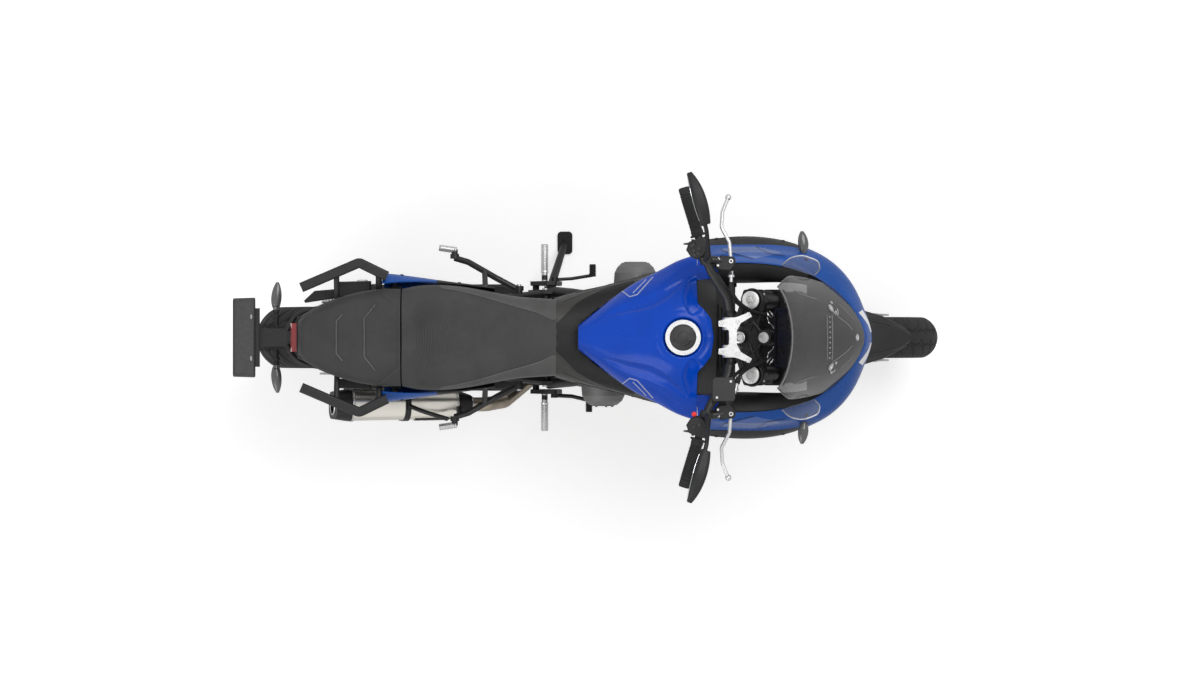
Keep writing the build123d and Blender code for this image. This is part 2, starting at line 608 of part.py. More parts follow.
def shock():
    """Rear shock between its two eyes: damper, adjuster, spring seats and a coiled spring."""
    way = (SHOCK_HIGH - SHOCK_LOW).normalized()
    length = (SHOCK_HIGH - SHOCK_LOW).length
    low, high = SHOCK_LOW + way * 34, SHOCK_HIGH - way * 38
    eyes = [across(point, SHOCK_EYE_W / 2, SHOCK_EYE_R) for point in (SHOCK_LOW, SHOCK_HIGH)]
    body = [
        rod(SHOCK_LOW, SHOCK_HIGH, SHOCK_EYE_W / 2 - 1), rod(low - way * 8, high + way * 8, 11),
        rod(low, low + way * 10, 33), rod(high - way * 14, high, 33), rod(high - way * 70, high, 22),
    ]
    helix = Helix(SPRING_PITCH, (high - low).length - 26, 26).locate(Plane(origin=low + way * 11, z_dir=way).location)
    coil = sweep(Plane(origin=helix @ 0, z_dir=helix % 0) * Circle(5), path=helix)
    pins = [across(point, SHOCK_EYE_W, SHOCK_PIN_R) for point in (SHOCK_LOW, SHOCK_HIGH)]
    return cut(join(*eyes, *body, coil), *pins)


SPRING_PITCH = 17.0


def rear_hugger():
    """Mudguard that hugs the rear tyre's front quarter, and the guard over the chain's upper run."""
    inner = REAR_TYRE_R + 12
    half = [(96, inner - 50), (96, inner - 24), (68, inner + 2), (0, inner + 9)]
    line = half + [(-y, r) for y, r in reversed(half[:-1])]
    plane = Plane(origin=REAR_AXLE, x_dir=(0, 1, 0), z_dir=(1, 0, 0))
    axle = Axis(REAR_AXLE, (0, 1, 0))
    guard = revolve(plane * Face(strip(line, -SHELL_T, lambda u, v: (u, v, 0))), axis=axle, revolution_arc=HUGGER_ARC)
    guard = guard.rotate(axle, HUGGER_START)
    lugs = [rod((-452, side * 92, 398), (-452, side * ARM_IN, 376), 9) for side in (-1, 1)]
    run = [(-262, 462), (-262, 466), (-668, 454), (-690, 449), (-689, 446), (-664, 450)]
    cover = side_plate(run, CHAIN_Y - CHAIN_W / 2 - 2, ARM_IN + 14)
    foot = rod((-480, ARM_IN + 8, 457), (-480, ARM_IN + 8, 360), 6)
    guard = cut(join(guard, *lugs), swingarm())
    return Compound([*guard.solids(), *cut(join(cover, foot), swingarm()).solids()])


HUGGER_START, HUGGER_ARC = 2.0, 82.0  # degrees forward of the wheel's top, then down towards the swingarm


def rear_caliper():
    """Rear brake caliper above the swingarm on its plate round the axle, open over the disc."""
    centre = REAR_AXLE + Vector(60, REAR_DISC_Y, 102)
    body = extrude(Plane(origin=centre, x_dir=(0.87, 0, -0.5), z_dir=(0, 1, 0)) * RectangleRounded(84, 64, 12), amount=20, both=True)
    plate = side_plate([(-734, 300), (-722, 344), (-684, 420), (-632, 396), (-688, 300)], -ARM_IN + RUN_GAP, -115.8, 8)
    slot = rod(REAR_AXLE + Vector(0, REAR_DISC_Y - 7.8, 0), REAR_AXLE + Vector(0, REAR_DISC_Y + 7.8, 0), REAR_DISC_R + 6)
    return cut(join(cut(body, slot), plate), across(REAR_AXLE, 200, AXLE_R))


# ---------------------------------------------------------------- engine, exhaust and cooling
ALTERNATOR, CLUTCH = Vector(105, 0, 392), Vector(10, 0, 412)
CASE_HALF = 128.0
AIRBOX_Z = 722.0
RADIATOR_TOP = 774.0


def intakes():
    """Throttle bodies from the head back into the airbox."""
    above = Pos(100, 0, AIRBOX_Z - RUN_GAP + 50) * Box(200, 200, 100)
    return [cut(rod((150, y, 628), (96, y, 740), 18), above) for y in (-66, 0, 66)]


def engine_case():
    """Crankcase, forward-leaning block, head and cam cover of an in-line triple, with its mounting lugs."""
    gearbox = side_plate([(-118, 330), (-118, 478), (-60, 515), (40, 505), (40, 300), (-60, 300)], -98, 96, 12)
    crank = [(0, 290), (0, 470), (60, 505), (150, 490), (215, 440), (235, 350), (200, 280), (60, 262)]
    case = side_plate(crank, -CASE_HALF, CASE_HALF, 16)
    flange = side_plate([(-10, 404), (-10, 420), (238, 400), (238, 384)], -CASE_HALF + 6, CASE_HALF - 6, 0)
    sump = side_plate([(20, 175), (20, 270), (190, 270), (180, 190)], -18, 92, 12)
    block = side_plate([(62, 480), (225, 425), (292, 575), (140, 640)], -CASE_HALF, CASE_HALF, 6)
    joint = side_plate([(128, 588), (134, 600), (282, 540), (276, 528)], -CASE_HALF - 4, CASE_HALF + 4, 0)
    cover = side_plate([(142, 632), (290, 570), (306, 606), (262, 650), (176, 676)], -134, 134, 10)
    wells = [rod((212, y, 640), (226, y, 676), 20) for y in (-84, 0, 84)]
    lugs = [across(ENGINE_MOUNT - Vector(0, 142, 0), 142, 13)]
    lugs.append(side_plate([(-152, 490), (-152, 520), (-90, 520), (-90, 490)], -34, 34, 4))
    oil_filter = rod((216, 34, 306), (282, 34, 290), 33)
    starter = across(Vector(48, 0, 520), 62, 27)
    whole = join(gearbox, case, flange, sump, block, joint, cover, *wells, *intakes(), *lugs, oil_filter, starter)
    return cut(whole, across(ENGINE_BAR, 130, 13 + RUN_GAP))


def round_cover(centre, side, y_in, profile):
    """Turned cover on the crankcase's side: profile is (height above the case, radius)."""
    rings = []
    for (low, r_low), (high, r_high) in zip(profile, profile[1:]):
        start, end = centre + Vector(0, side * (y_in + low), 0), centre + Vector(0, side * (y_in + high), 0)
        rings.append(cone(start, end, r_low, r_high) if r_low != r_high else rod(start, end, r_low))
    return join(*rings)


def engine_covers():
    """Side covers: alternator on the left, clutch on the right, water pump and sprocket cover."""
    alternator = round_cover(ALTERNATOR, 1, CASE_HALF, [(0, 72), (10, 72), (10.01, 66), (64, 62), (80, 54), (94, 40)])
    clutch = round_cover(CLUTCH, -1, CASE_HALF, [(0, 72), (12, 72), (12.01, 66), (44, 63), (60, 55), (72, 40)])
    pump = round_cover(Vector(190, 0, 316), 1, CASE_HALF, [(0, 30), (16, 30), (26, 20)])
    sprocket = side_plate([(-134, 348), (-134, 470), (-96, 484), (-48, 470), (-36, 352)], 124, PLATE_IN - RUN_GAP, 10)
    return Compound([solid for part in (alternator, clutch, pump, sprocket) for solid in part.solids()])


def airbox():
    """Airbox over the throttle bodies, between the spars, below the tank."""
    top = TANK_FLOOR_Z - SHELL_T - 6
    outline = [(-24, AIRBOX_Z), (-24, 800), (20, top), (214, top), (214, 760), (170, AIRBOX_Z)]
    return side_plate(outline, -84, 84)


def under_tray():
    """Moulded tray between the seat rails, which closes the space below the seat."""
    outline = [(-138, 704), (-138, 790), (-500, 830), (-500, 756), (-330, 716), (-200, 704)]
    return cut(side_plate(outline, -77.7, 77.7, 8), rider_seat(), across(TRAY_BAR, 92, 8 + RUN_GAP))


def radiator():
    """Radiator core with end tanks, and the fan's shroud behind it."""
    core = Pos(373, 0, 628) * Box(24, 300, 284)
    tanks = [Pos(373, side * 158, 628) * Box(32, 28, RADIATOR_TOP * 2 - 628 * 2) for side in (-1, 1)]
    fan = rod((362, 0, 640), (344, 0, 640), 112)
    top = Pos(372, 0, RADIATOR_TOP - 4) * Box(26, 300, 8)
    neck = rod((373, -158, 740), (352, -158, 752), 13)
    return join(core, *tanks, fan, top, neck)


HEADER_R, LINK_R = 17.0, 21.0


def exhaust_pipes():
    """Three header pipes down the engine's front into a collector, and the link pipe to the silencer."""
    parts = []
    for y in (-84, 0, 84):
        points = [
            (256, y, 552), (312, y, 530), (318, y * 0.9, 400), (296, y * 0.5 - 50, 240), (200, y * 0.25 - 72, 214),
            (150, -72, 214),
        ]
        parts.append(pipe(points, HEADER_R, 30))
        parts.append(rod((264, y, 549), (284, y, 541), HEADER_R + 9))
    parts.append(rod((170, -72, 214), (-40, -76, 214), 33))
    points = [(-30, -76, 214), (-90, -80, 216), (-200, -118, 250), (-286, -190, 330)]
    back, end = SILENCER_FRONT - SILENCER_WAY * 50, SILENCER_FRONT - SILENCER_WAY * RUN_GAP
    parts.append(pipe([*points, tuple(back), tuple(end)], LINK_R, 30))
    return cut(join(*parts), engine_case())


SILENCER_FRONT, SILENCER_REAR = Vector(-385, -198, 428), Vector(-735, -198, 545)
SILENCER_WAY = (SILENCER_REAR - SILENCER_FRONT).normalized()


def silencer_section(along, wide, tall, corner=36.0):
    """Section of the silencer, some way along it from its front end."""
    plane = Plane(origin=SILENCER_FRONT + SILENCER_WAY * along, x_dir=(0, 1, 0), z_dir=SILENCER_WAY)
    return plane * RectangleRounded(wide, tall, corner)


def silencer():
    """The silencer's steel can between its two moulded ends, open where the gas leaves."""
    length = (SILENCER_REAR - SILENCER_FRONT).length
    nose = loft([silencer_section(0, 56, 60, 20), silencer_section(46, 84, 106)])
    can = loft([silencer_section(46 + RUN_GAP, 84, 106), silencer_section(length, 90, 122)])
    cap = loft([silencer_section(length + RUN_GAP, 92, 124), silencer_section(length + 46, 80, 104, 30)])
    outlet = rod(SILENCER_REAR + SILENCER_WAY * 12, SILENCER_REAR + SILENCER_WAY * 60, 27)
    return Compound([*nose.solids(), *can.solids(), *cut(cap, outlet).solids()])


def drive_chain():
    """The chain's closed loop round both sprockets, as a band of its link height, and the gearbox sprocket."""
    front = pitch_radius(TEETH_FRONT)
    rear = pitch_radius(TEETH_REAR)
    outer = chain_loop(front + LINK_HALF_H, rear + LINK_HALF_H, CHAIN_W)
    inner = chain_loop(front - LINK_HALF_H / 2, rear - LINK_HALF_H / 2, CHAIN_W + 2)
    gx, gz = GEARBOX
    tip = pitch_radius(TEETH_FRONT) - LINK_HALF_H / 2 - RUN_GAP
    wheel = join(rod((gx, CHAIN_Y - 5, gz), (gx, CHAIN_Y + 5, gz), tip), rod((gx, 96, gz), (gx, CHAIN_Y, gz), 14))
    return Compound([*cut(outer, inner).solids(), *wheel.solids()])


def chain_loop(front_r, rear_r, width):
    """Prism whose outline is the belt round two circles about the gearbox shaft and the rear axle."""
    gx, gz = GEARBOX
    dx, dz = REAR_X - gx, REAR_TYRE_R - gz
    length = hypot(dx, dz)
    lean = asin((rear_r - front_r) / length)
    base = atan2(dz, dx)
    ends = []
    for sign in (1, -1):
        angle = base + sign * (pi / 2 + lean)
        ends.append(
            ((gx + front_r * cos(angle), gz + front_r * sin(angle)),
             (REAR_X + rear_r * cos(angle), REAR_TYRE_R + rear_r * sin(angle)))
        )
    nose = (gx - front_r * cos(base), gz - front_r * sin(base))
    heel = (REAR_X + rear_r * cos(base), REAR_TYRE_R + rear_r * sin(base))
    (a_front, a_rear), (b_front, b_rear) = ends
    loop = Wire(
        [Line(a_front, a_rear).edges()[0], ThreePointArc(a_rear, heel, b_rear).edges()[0],
         Line(b_rear, b_front).edges()[0], ThreePointArc(b_front, nose, a_front).edges()[0]]
    )
    plane = Plane(origin=(0, CHAIN_Y + width / 2, 0), x_dir=(1, 0, 0), z_dir=(0, -1, 0))
    return extrude(plane * Face(loop), amount=width, dir=(0, -1, 0))


# ---------------------------------------------------------------- tank, seats and tail
TANK_STATIONS = [
    (-61, [(0, 884), (20, 880), (34, 866), (33, 846)]),
    (22, [(0, 928), (50, 920), (86, 898), (101, 866), (96, TANK_FLOOR_Z)]),
    (90, [(0, 964), (62, 955), (116, 925), (148, 882), (138, TANK_FLOOR_Z)]),
    (160, [(0, 990), (70, 983), (136, 950), (182, 892), (170, TANK_FLOOR_Z)]),
    (230, [(0, 1000), (72, 996), (142, 960), (218, 905), (200, TANK_FLOOR_Z)]),
    (272, [(0, 998), (70, 992), (142, 958), (229, 902), (212, TANK_FLOOR_Z)]),
    (318, [(0, 984), (70, 978), (138, 944), (214, 892), (200, TANK_FLOOR_Z)]),
]
CAP_FLOOR_Z = 994.0


def tank_front_cutter(gap):
    """Prism ahead of the tank's front edge, which steps back beside the filler."""
    half = [(316 + gap, 0), (308 + gap, 52), (272 + gap, 100), (270 + gap, 172), (274 + gap, 260)]
    outline = half + [(420, 260), (420, -260)] + [(x, -y) for x, y in reversed(half[1:])]
    return extrude(Plane.XY.offset(800) * make_face(Polyline(*outline, close=True)), amount=260)


def fuel_tank():
    """Painted tank with wide shoulders and a front edge notched round the filler."""
    body = Solid.make_loft([crowned(x, symmetric(line)) for x, line in TANK_STATIONS])
    recess = rod((CAP_X, 0, CAP_FLOOR_Z), (CAP_X, 0, 1060), CAP_R + RUN_GAP)
    return cut(body, tank_front_cutter(0.0), recess)


def filler_cap():
    """Flush filler cap with its bright ring."""
    floor = CAP_FLOOR_Z + RUN_GAP
    ring = rod((CAP_X, 0, floor), (CAP_X, 0, 1004), CAP_R, 37)
    lid = rod((CAP_X, 0, floor), (CAP_X, 0, 1002), 37 - RUN_GAP)
    return Compound([*ring.solids(), *lid.solids()])


def tank_covers():
    """Moulded covers round the painted tank: one ahead of it, and a saddle below it with the knee panels."""
    front = [(262, [(0, 960), (100, 955), (166, 930), (168, 884)]), (324, [(0, 940), (90, 935), (160, 905), (166, 876)])]
    ahead = Solid.make_loft([crowned(x, symmetric(line)) for x, line in front]) & tank_front_cutter(RUN_GAP)
    top = TANK_FLOOR_Z - RUN_GAP
    saddle = [
        (-128, [(0, 846), (56, 842), (92, 820), (110, 776), (112, 712)]),
        (-66, [(0, 843), (64, 839), (108, 812), (127, 770), (126, 702)]),
        (7, [(0, top), (88, top), (126, 816), (144, 770), (141, 694)]),
        (76, [(0, top), (116, top), (146, 820), (162, 774), (156, 696)]),
        (190, [(0, top), (140, top), (176, 824), (192, 786), (182, 716)]),
    ]
    shell = shell_along_x([(x, symmetric(line)) for x, line in saddle], -SHELL_T)
    half_opening = [(-64, 37), (22, 104), (36, 92), (200, 92)]
    opening = half_opening + [(x, -y) for x, y in reversed(half_opening)]
    tail_opening = extrude(Plane.XY.offset(780) * Polygon(*opening, align=None), 100, dir=(0, 0, 1))
    under_tank = Pos(176, 0, top + 50) * Box(308, 400, 100)
    shell = cut(shell, tail_opening, under_tank)
    return Compound([*join(ahead).solids(), *shell.solids()])


SEAT_FRONT_X = -128.0


def rider_seat():
    """Rider's seat pad on its base, waisted at the front and stepped up to the pillion."""
    lines = [
        (-132, [(0, 850), (50, 847), (88, 828), (108, 796), (104, 762)]),
        (-220, [(0, 836), (70, 834), (104, 818), (118, 796), (108, 768)]),
        (-330, [(0, 836), (90, 834), (124, 820), (136, 800), (120, 776)]),
        (-430, [(0, 848), (104, 846), (138, 832), (146, 812), (130, 788)]),
        (-500, [(0, 884), (108, 880), (138, 864), (144, 838), (130, 800)]),
        (-556, [(0, 908), (104, 904), (132, 890), (138, 860), (126, 806)]),
    ]
    return Solid.make_loft([crowned(x, symmetric(line)) for x, line in lines])


def pillion_seat():
    """Pillion pad, widest at the step and drawn in to a narrow tail."""
    lines = [
        (-560, [(0, 914), (100, 910), (130, 896), (136, 876)]),
        (-640, [(0, 926), (98, 922), (126, 906), (132, 878)]),
        (-740, [(0, 930), (78, 926), (104, 908), (110, 882)]),
        (-810, [(0, 930), (52, 926), (74, 908), (80, 886)]),
        (-846, [(0, 916), (34, 912), (46, 902), (50, 890)]),
    ]
    return Solid.make_loft([crowned(x, symmetric(line)) for x, line in lines])


def tail_body():
    """The tail's closed moulding below the pillion pad."""
    lines = [
        (-510, [(0, 798), (90, 798), (116, 786), (112, 752)]),
        (-556, [(0, 803), (90, 803), (118, 796), (112, 758)]),
        (-562, [(0, 872), (96, 872), (124, 864), (112, 762)]),
        (-700, [(0, 874), (90, 874), (110, 866), (96, 800)]),
        (-800, [(0, 880), (58, 880), (76, 872), (66, 822)]),
        (-852, [(0, 886), (34, 886), (52, 878), (46, 842)]),
    ]
    return Solid.make_loft([crowned(x, symmetric(line)) for x, line in lines], ruled=True)


def cowl_shells():
    stations = [
        (-300, [(122, 748), (140, 768), (143, 790)]), (-440, [(132, 742), (159, 776), (158, 808)]),
        (-540, [(132, 762), (174, 808), (160, 852)]), (-612, [(134, 792), (182, 842), (154, 886)]),
    ]
    return both_sides(shell_along_x(stations, SHELL_T + 1))


def tail_unit():
    """Tail moulding over the seat rails' ends, with the posts that carry the painted cowls."""
    posts = [rod((-580, side * 100, 800), (-580, side * 178, 812), 8) for side in (-1, 1)]
    whole = cut(join(tail_body(), *posts), rail(1), rail(-1), pillion_seat(), rider_seat())
    trimmed = cut(whole, cowl_shells())
    return max(trimmed.solids(), key=lambda solid: solid.volume)


def tail_cowls():
    """Painted side panels below the seats."""
    return cowl_shells()


def grab_rails():
    """Sculpted grab rails that stand out beside the pillion seat, open for the hand."""
    path = FilletPolyline((-598, 172, 886), (-676, 210, 890), (-838, 140, 902), radius=14)
    profile = Plane(origin=path @ 0, x_dir=(0, 0, 1), z_dir=path % 0) * RectangleRounded(20, 28, 6)
    feet = [rod((-622, 184, 884), (-622, 90, 846), 9), rod((-740, 182, 892), (-740, 70, 862), 8)]
    return both_sides(cut(join(sweep(profile, path=path), *feet), tail_body(), pillion_seat(), cowl_shells()))


PLATE_TOP, PLATE_BOTTOM = Vector(-988, 0, 706), Vector(-1070, 0, 548)


def plate_plane():
    """The number plate's front plane, x to the left, facing back and up."""
    way = (PLATE_BOTTOM - PLATE_TOP).normalized()
    return Plane(origin=(PLATE_TOP + PLATE_BOTTOM) * 0.5, x_dir=(0, 1, 0), z_dir=Vector(0, 1, 0).cross(way))


def plate_hanger():
    """Arm under the tail with the plate's backing and the bar that carries the rear indicators."""
    outline = [
        (-740, 832), (-852, 846), (-884, 830), (-985, 716), (-1004, 664), (-992, 660), (-962, 690), (-850, 776),
        (-740, 790),
    ]
    arm = side_plate(outline, -26, 26, 4)
    bar = across(Vector(-927, 0, 722), 76, 8)
    back = extrude(plate_plane() * Pos(0, 10, -RUN_GAP) * RectangleRounded(200, 130, 8), amount=-4)
    return cut(join(cut(arm, extrude(plate_plane() * Rectangle(400, 400), amount=60)), bar, back), tail_body())


def number_plate():
    return extrude(plate_plane() * RectangleRounded(229, 178, 8), amount=2)


def indicator(foot, side, length, sweep_back):
    """Slim direction indicator from its stalk to its lens's tip."""
    stages = ((0, 0, 6, 6), (0.3, 0, 14, 11), (0.7, -2, 13, 10), (1, -4, 4, 3))
    sections = [
        Plane(origin=(foot.X + sweep_back * shift, side * (foot.Y + length * share), foot.Z), x_dir=(1, 0, 0), z_dir=(0, side, 0))
        * Ellipse(wide, tall)
        for share, shift, wide, tall in stages
    ]
    return loft(sections)


def signal_lamps():
    """Slim direction indicators, front pair on the fairing and rear pair on the plate's arm, and the tail lamp."""
    out = side_plate([(-852.3, 852), (-852.3, 880), (-866, 882), (-872, 862)], -40, 40, 0).solids()
    for side in (1, -1):
        out += indicator(Vector(-927, 76 + RUN_GAP, 722), side, 82, -1).solids()
        out += cut(indicator(Vector(574, 236, 848), side, 64, 1), fairing_level_solid()).solids()
    return Compound(out)


# ---------------------------------------------------------------- fairing, screen and lamps
# Half outlines of the front fairing at several levels, from the nose's centre outwards: the master surface
# that nose, side panels, trims and lamp lenses are all trimmed from.
FAIRING = {
    905: [(742, 0), (728, 48), (694, 100), (652, 142), (600, 176), (520, 202), (420, 213), (316, 212)],
    868: [(761, 0), (744, 62), (710, 128), (664, 180), (600, 220), (510, 241), (410, 246), (290, 240)],
    832: [(769, 0), (750, 72), (722, 136), (682, 190), (628, 230), (556, 252), (440, 263), (268, 260)],
    804: [(768, 0), (748, 74), (720, 137), (680, 192), (628, 234), (556, 264), (440, 282), (240, 267)],
    760: [(758, 0), (738, 73), (708, 134), (668, 189), (618, 232), (548, 262), (436, 278), (256, 262)],
    644: [(702, 0), (682, 62), (656, 113), (622, 158), (577, 195), (516, 221), (426, 237), (312, 228)],
    596: [(676, 0), (658, 56), (634, 104), (600, 146), (556, 178), (500, 200), (420, 214), (330, 210)],
}
FAIRING_T = 4.0
SEAM = 0.5  # between neighbouring panels
BLUE_EDGE = [(230, 831), (440, 832), (560, 827), (604, 806), (642, 800)]  # X and Z, under the painted band
NOSE_EDGE = [(600, 912), (612, 862), (642, 800), (634, 740), (606, 690)]  # X and Z, behind the nose


def level_line(half, inset=0.0):
    """A level's whole outline from the right rear round the nose to the left rear, moved inwards."""
    line = [(x, -y) for x, y in reversed(half[1:])] + list(half)
    return [(x + nx * inset, y + ny * inset) for (x, y), (nx, ny) in zip(line, normals_2d(line))]


def fairing_shell(inset, thickness, ruled=False):
    """The master surface as a skin, some way inside the outline."""
    wires = [strip(level_line(half, inset), thickness, lambda x, y, z=z: (x, y, z)) for z, half in FAIRING.items()]
    return Solid.make_loft(wires, ruled=ruled)


def fairing_level_solid():
    return fairing_shell(0.0, FAIRING_T)


def region(outline):
    """Prism right across the machine with an outline in X and Z."""
    return side_plate(outline, -320, 320)


def side_fairings():
    """Painted side panels: the band below the bar, and the lower panel beside the radiator."""
    upper = [(200, 920), *[(x, z + SEAM) for x, z in BLUE_EDGE[:-1]]]
    upper += [(x - SEAM, z) for x, z in ((641, 801), NOSE_EDGE[1], (NOSE_EDGE[0][0], 920))]
    lower = [
        (318, 772), (560, 776), (612, 790), (NOSE_EDGE[2][0] - SEAM - 6, 792), (NOSE_EDGE[3][0] - SEAM, 740),
        (NOSE_EDGE[4][0] - SEAM, 690), (560, 640), (486, 598), (440, 598), (404, 660), (360, 720),
    ]
    flat = fairing_shell(0.0, FAIRING_T, ruled=True)
    return Compound([*(fairing_level_solid() & region(upper)).solids(), *(flat & region(lower)).solids()])


def fairing_trims():
    """Black wings outside the painted bands, and the liners that close the gap to the steering head."""
    wing = [
        (230, 800), (236, 826), *[(x, z - SEAM) for x, z in BLUE_EDGE[1:4]], (612, 790 + SEAM), (560, 776 + SEAM),
        (318, 772 + SEAM), (290, 764),
    ]
    wings = fairing_level_solid() & region(wing)
    liner = [
        (300, [(164, 846), (180, 876), (206.5, 903.5)]), (400, [(156, 850), (172, 884), (208.3, 903.8)]),
        (500, [(158, 862), (172, 890), (200.3, 903.8)]), (584, [(150, 874), (160, 894), (178, 903.6)]),
    ]
    return Compound([*wings.solids(), *both_sides(shell_along_x(liner, SHELL_T)).solids()])


LAMP = [(26, 744), (22, 780), (62, 806), (138, 820), (150, 800), (112, 756), (62, 738)]  # Y and Z, left lamp's opening
STAY_BAR = Vector(604, 150, 812)


def lamp_prism(grow, x_back):
    """Prism along X through both lamp openings, grown outwards all round."""
    out = []
    for side in (1, -1):
        face = make_face(Polyline(*[(side * y, z) for y, z in LAMP], close=True))
        if grow:
            face = offset(face, amount=grow)
        out += extrude(Plane(origin=(x_back, 0, 0), x_dir=(0, 1, 0), z_dir=(1, 0, 0)) * face, amount=800 - x_back).solids()
    return out


def nose_fairing():
    """Painted nose round both headlamps."""
    outline = [(NOSE_EDGE[0][0], 920), *NOSE_EDGE[1:], (660, 696), (800, 690), (800, 920)]
    return cut(fairing_level_solid() & region(outline), *lamp_prism(0.0, 560))


def headlamps():
    """Headlamp units: a clear lens behind each opening, and the housing back to the stay's bar."""
    lens = fairing_shell(FAIRING_T + RUN_GAP, SHELL_T)
    levels = []
    for z, half in FAIRING.items():
        line = [(x, y, z) for x, y in level_line(half, FAIRING_T + SHELL_T + 2 * RUN_GAP)]
        levels.append(Wire([Spline(*line).edges()[0], Line(line[-1], line[0]).edges()[0]]))
    inside = Solid.make_loft(levels)
    out = []
    for prism, back in zip(lamp_prism(4.0, 640), lamp_prism(2.0, STAY_BAR.X + 9 + RUN_GAP)):
        out += (lens & prism).solids()
        out += (inside & back).solids()
    return Compound(out)


def fairing_stay():
    """Tubular stay from the headstock that carries lamps, instruments and screen."""
    root = steer_point(22, 0, 624)
    parts = [rod(root, (STAY_BAR.X, 0, STAY_BAR.Z), 10), across(Vector(STAY_BAR.X, 0, STAY_BAR.Z), STAY_BAR.Y, 9)]
    for side in (-1, 1):
        foot, head = Vector(STAY_BAR.X, side * 58, STAY_BAR.Z), Vector(546, side * 58, 1052)
        middle = foot + (head - foot) * 0.46
        parts += [rod(foot, head, 7), rod(middle, (690, side * 84, 966), 7)]
        parts.append(rod((STAY_BAR.X, side * 146, STAY_BAR.Z), (STAY_BAR.X - 4, side * 240, 846), 7))
        parts.append(rod((546, side * 40, 1052), (525, side * 40, 1065), 6))
    parts.append(across(Vector(546, 0, 1052), 58, 7))
    whole = cut(join(*parts), windscreen(), instrument_panel(), fairing_level_solid(), steer_rod(0, 500, 720, HEAD_R, x=0))
    return max(whole.solids(), key=lambda solid: solid.volume)


SCREEN = {
    905 + SEAM: [(742, 0), (728, 48), (694, 100), (656, 137)],
    1000: [(694, 0), (679, 58), (640, 118), (600, 158)],
    1120: [(624, 0), (613, 60), (580, 124), (542, 167)],
    1240: [(556, 0), (547, 60), (528, 118), (504, 162)],
    1312: [(513, 0), (507, 58), (492, 108), (476, 137)],
}


def windscreen():
    """Tall smoked screen that rises from the nose's upper edge."""
    wires = [strip(level_line(half), SHELL_T, lambda x, y, z=z: (x, y, z)) for z, half in SCREEN.items()]
    return Solid.make_loft(wires)


def side_deflectors():
    """Small clear deflectors that lean out beside the screen, on the fairing's upper edge."""
    outline = [(0, 0), (18, 58), (50, 92), (92, 84), (106, 40), (100, 0)]
    along, lean = Vector(0.956, -0.294, 0), radians(26)
    across_edge = Vector(-0.294, -0.956, 0) * cos(lean) + Vector(0, 0, 1) * sin(lean)
    plane = Plane(origin=(508, 204, 905 + SEAM), x_dir=along, z_dir=across_edge)
    face = make_face(Polyline(*outline, close=True))
    return both_sides(extrude(plane * fillet(face.vertices(), 6), amount=SHELL_T))


def instrument_panel():
    """Colour display in its housing, tilted to face the rider."""
    plane = Plane(origin=(512, 0, 1085), x_dir=(0, 1, 0), z_dir=Vector(-0.85, 0, 0.53))
    case = extrude(plane * RectangleRounded(156, 100, 14), amount=-24)
    hood = extrude(plane * Pos(0, 0) * RectangleRounded(164, 108, 16) - plane * RectangleRounded(148, 92, 10), amount=5)
    return join(case, hood)


'''+'''


# ---------------------------------------------------------------- rider's controls and stand
def footpeg_hangers():
    """Cast hangers outside the pivot plates, and the passenger's hangers off the seat rails."""
    plate = [(-205, 352), (-206, 440), (-160, 500), (-128, 500), (-112, 430), (-118, 328), (-180, 330)]
    out = []
    for side in (1, -1):
        rider = plate_between(plate, side, 154, 166, 10)
        stand_off = rod((-190, side * PLATE_OUT, 400), (-190, side * 155, 400), 10)
        lug, upper = flip(HANGER_LUG, side), flip(BRACE_LUG, side)
        out_y = Vector(0, side, 0)
        boss = rod(lug, lug + out_y * 14, 14)
        way = [(-300, side * 172, 580), (-384, side * 220, 556), (-424, side * 232, 548)]
        main = cut(pipe([tuple(lug + out_y * 2), *way], 9, 24), rod(lug - out_y * 40, lug, 40))
        brace = rod(upper + out_y * 6, (-336, side * 194, 570), 8)
        eye = rod((-424, side * 230, 548), (-424, side * 244, 548), 13)
        parts = [boss, main, rod(upper, upper + out_y * 12, 12), brace, eye]
        if side < 0:
            parts.append(rod((-410, -226, 548), (-416, -204, 480), 8))
        out += [*join(rider, stand_off).solids(), *cut(join(*parts), silencer()).solids()]
    return Compound(out)


def footpegs():
    rider = join(rod((-165, 166, 358), (-165, 190, 358), 9), rod((-165, 186, 358), (-165, 278, 358), 11))
    passenger = join(rod((-424, 244 + RUN_GAP, 548), (-424, 256, 548), 9), rod((-414, 254, 548), (-470, 262, 548), 10))
    return both_sides(Compound([*rider.solids(), *passenger.solids()]))


def foot_levers():
    """Gear lever on the left and brake pedal on the right."""
    gear = join(pipe([(-132, 173, 340), (-84, 176, 330), (-22, 186, 334)], 5, 20), rod((-22, 184, 334), (-22, 218, 334), 8))
    brake = join(pipe([(-132, -173, 340), (-84, -176, 318), (-33, -188, 320)], 6, 20), rod((-33, -186, 320), (-33, -222, 320), 8))
    bosses = [rod((-136, side * 166, 342), (-136, side * 180, 342), 11) for side in (1, -1)]
    return Compound([*join(gear, bosses[0]).solids(), *join(brake, bosses[1]).solids()])


STAND_PIVOT, STAND_FOOT = Vector(-150, 146, 262), Vector(-108, 292, 52)
STAND_AXIS = Vector(-0.055, 1, 0.055).normalized()
FOOT_T = 6.0
STAND_SWING = 105.0  # degrees, rearwards and up


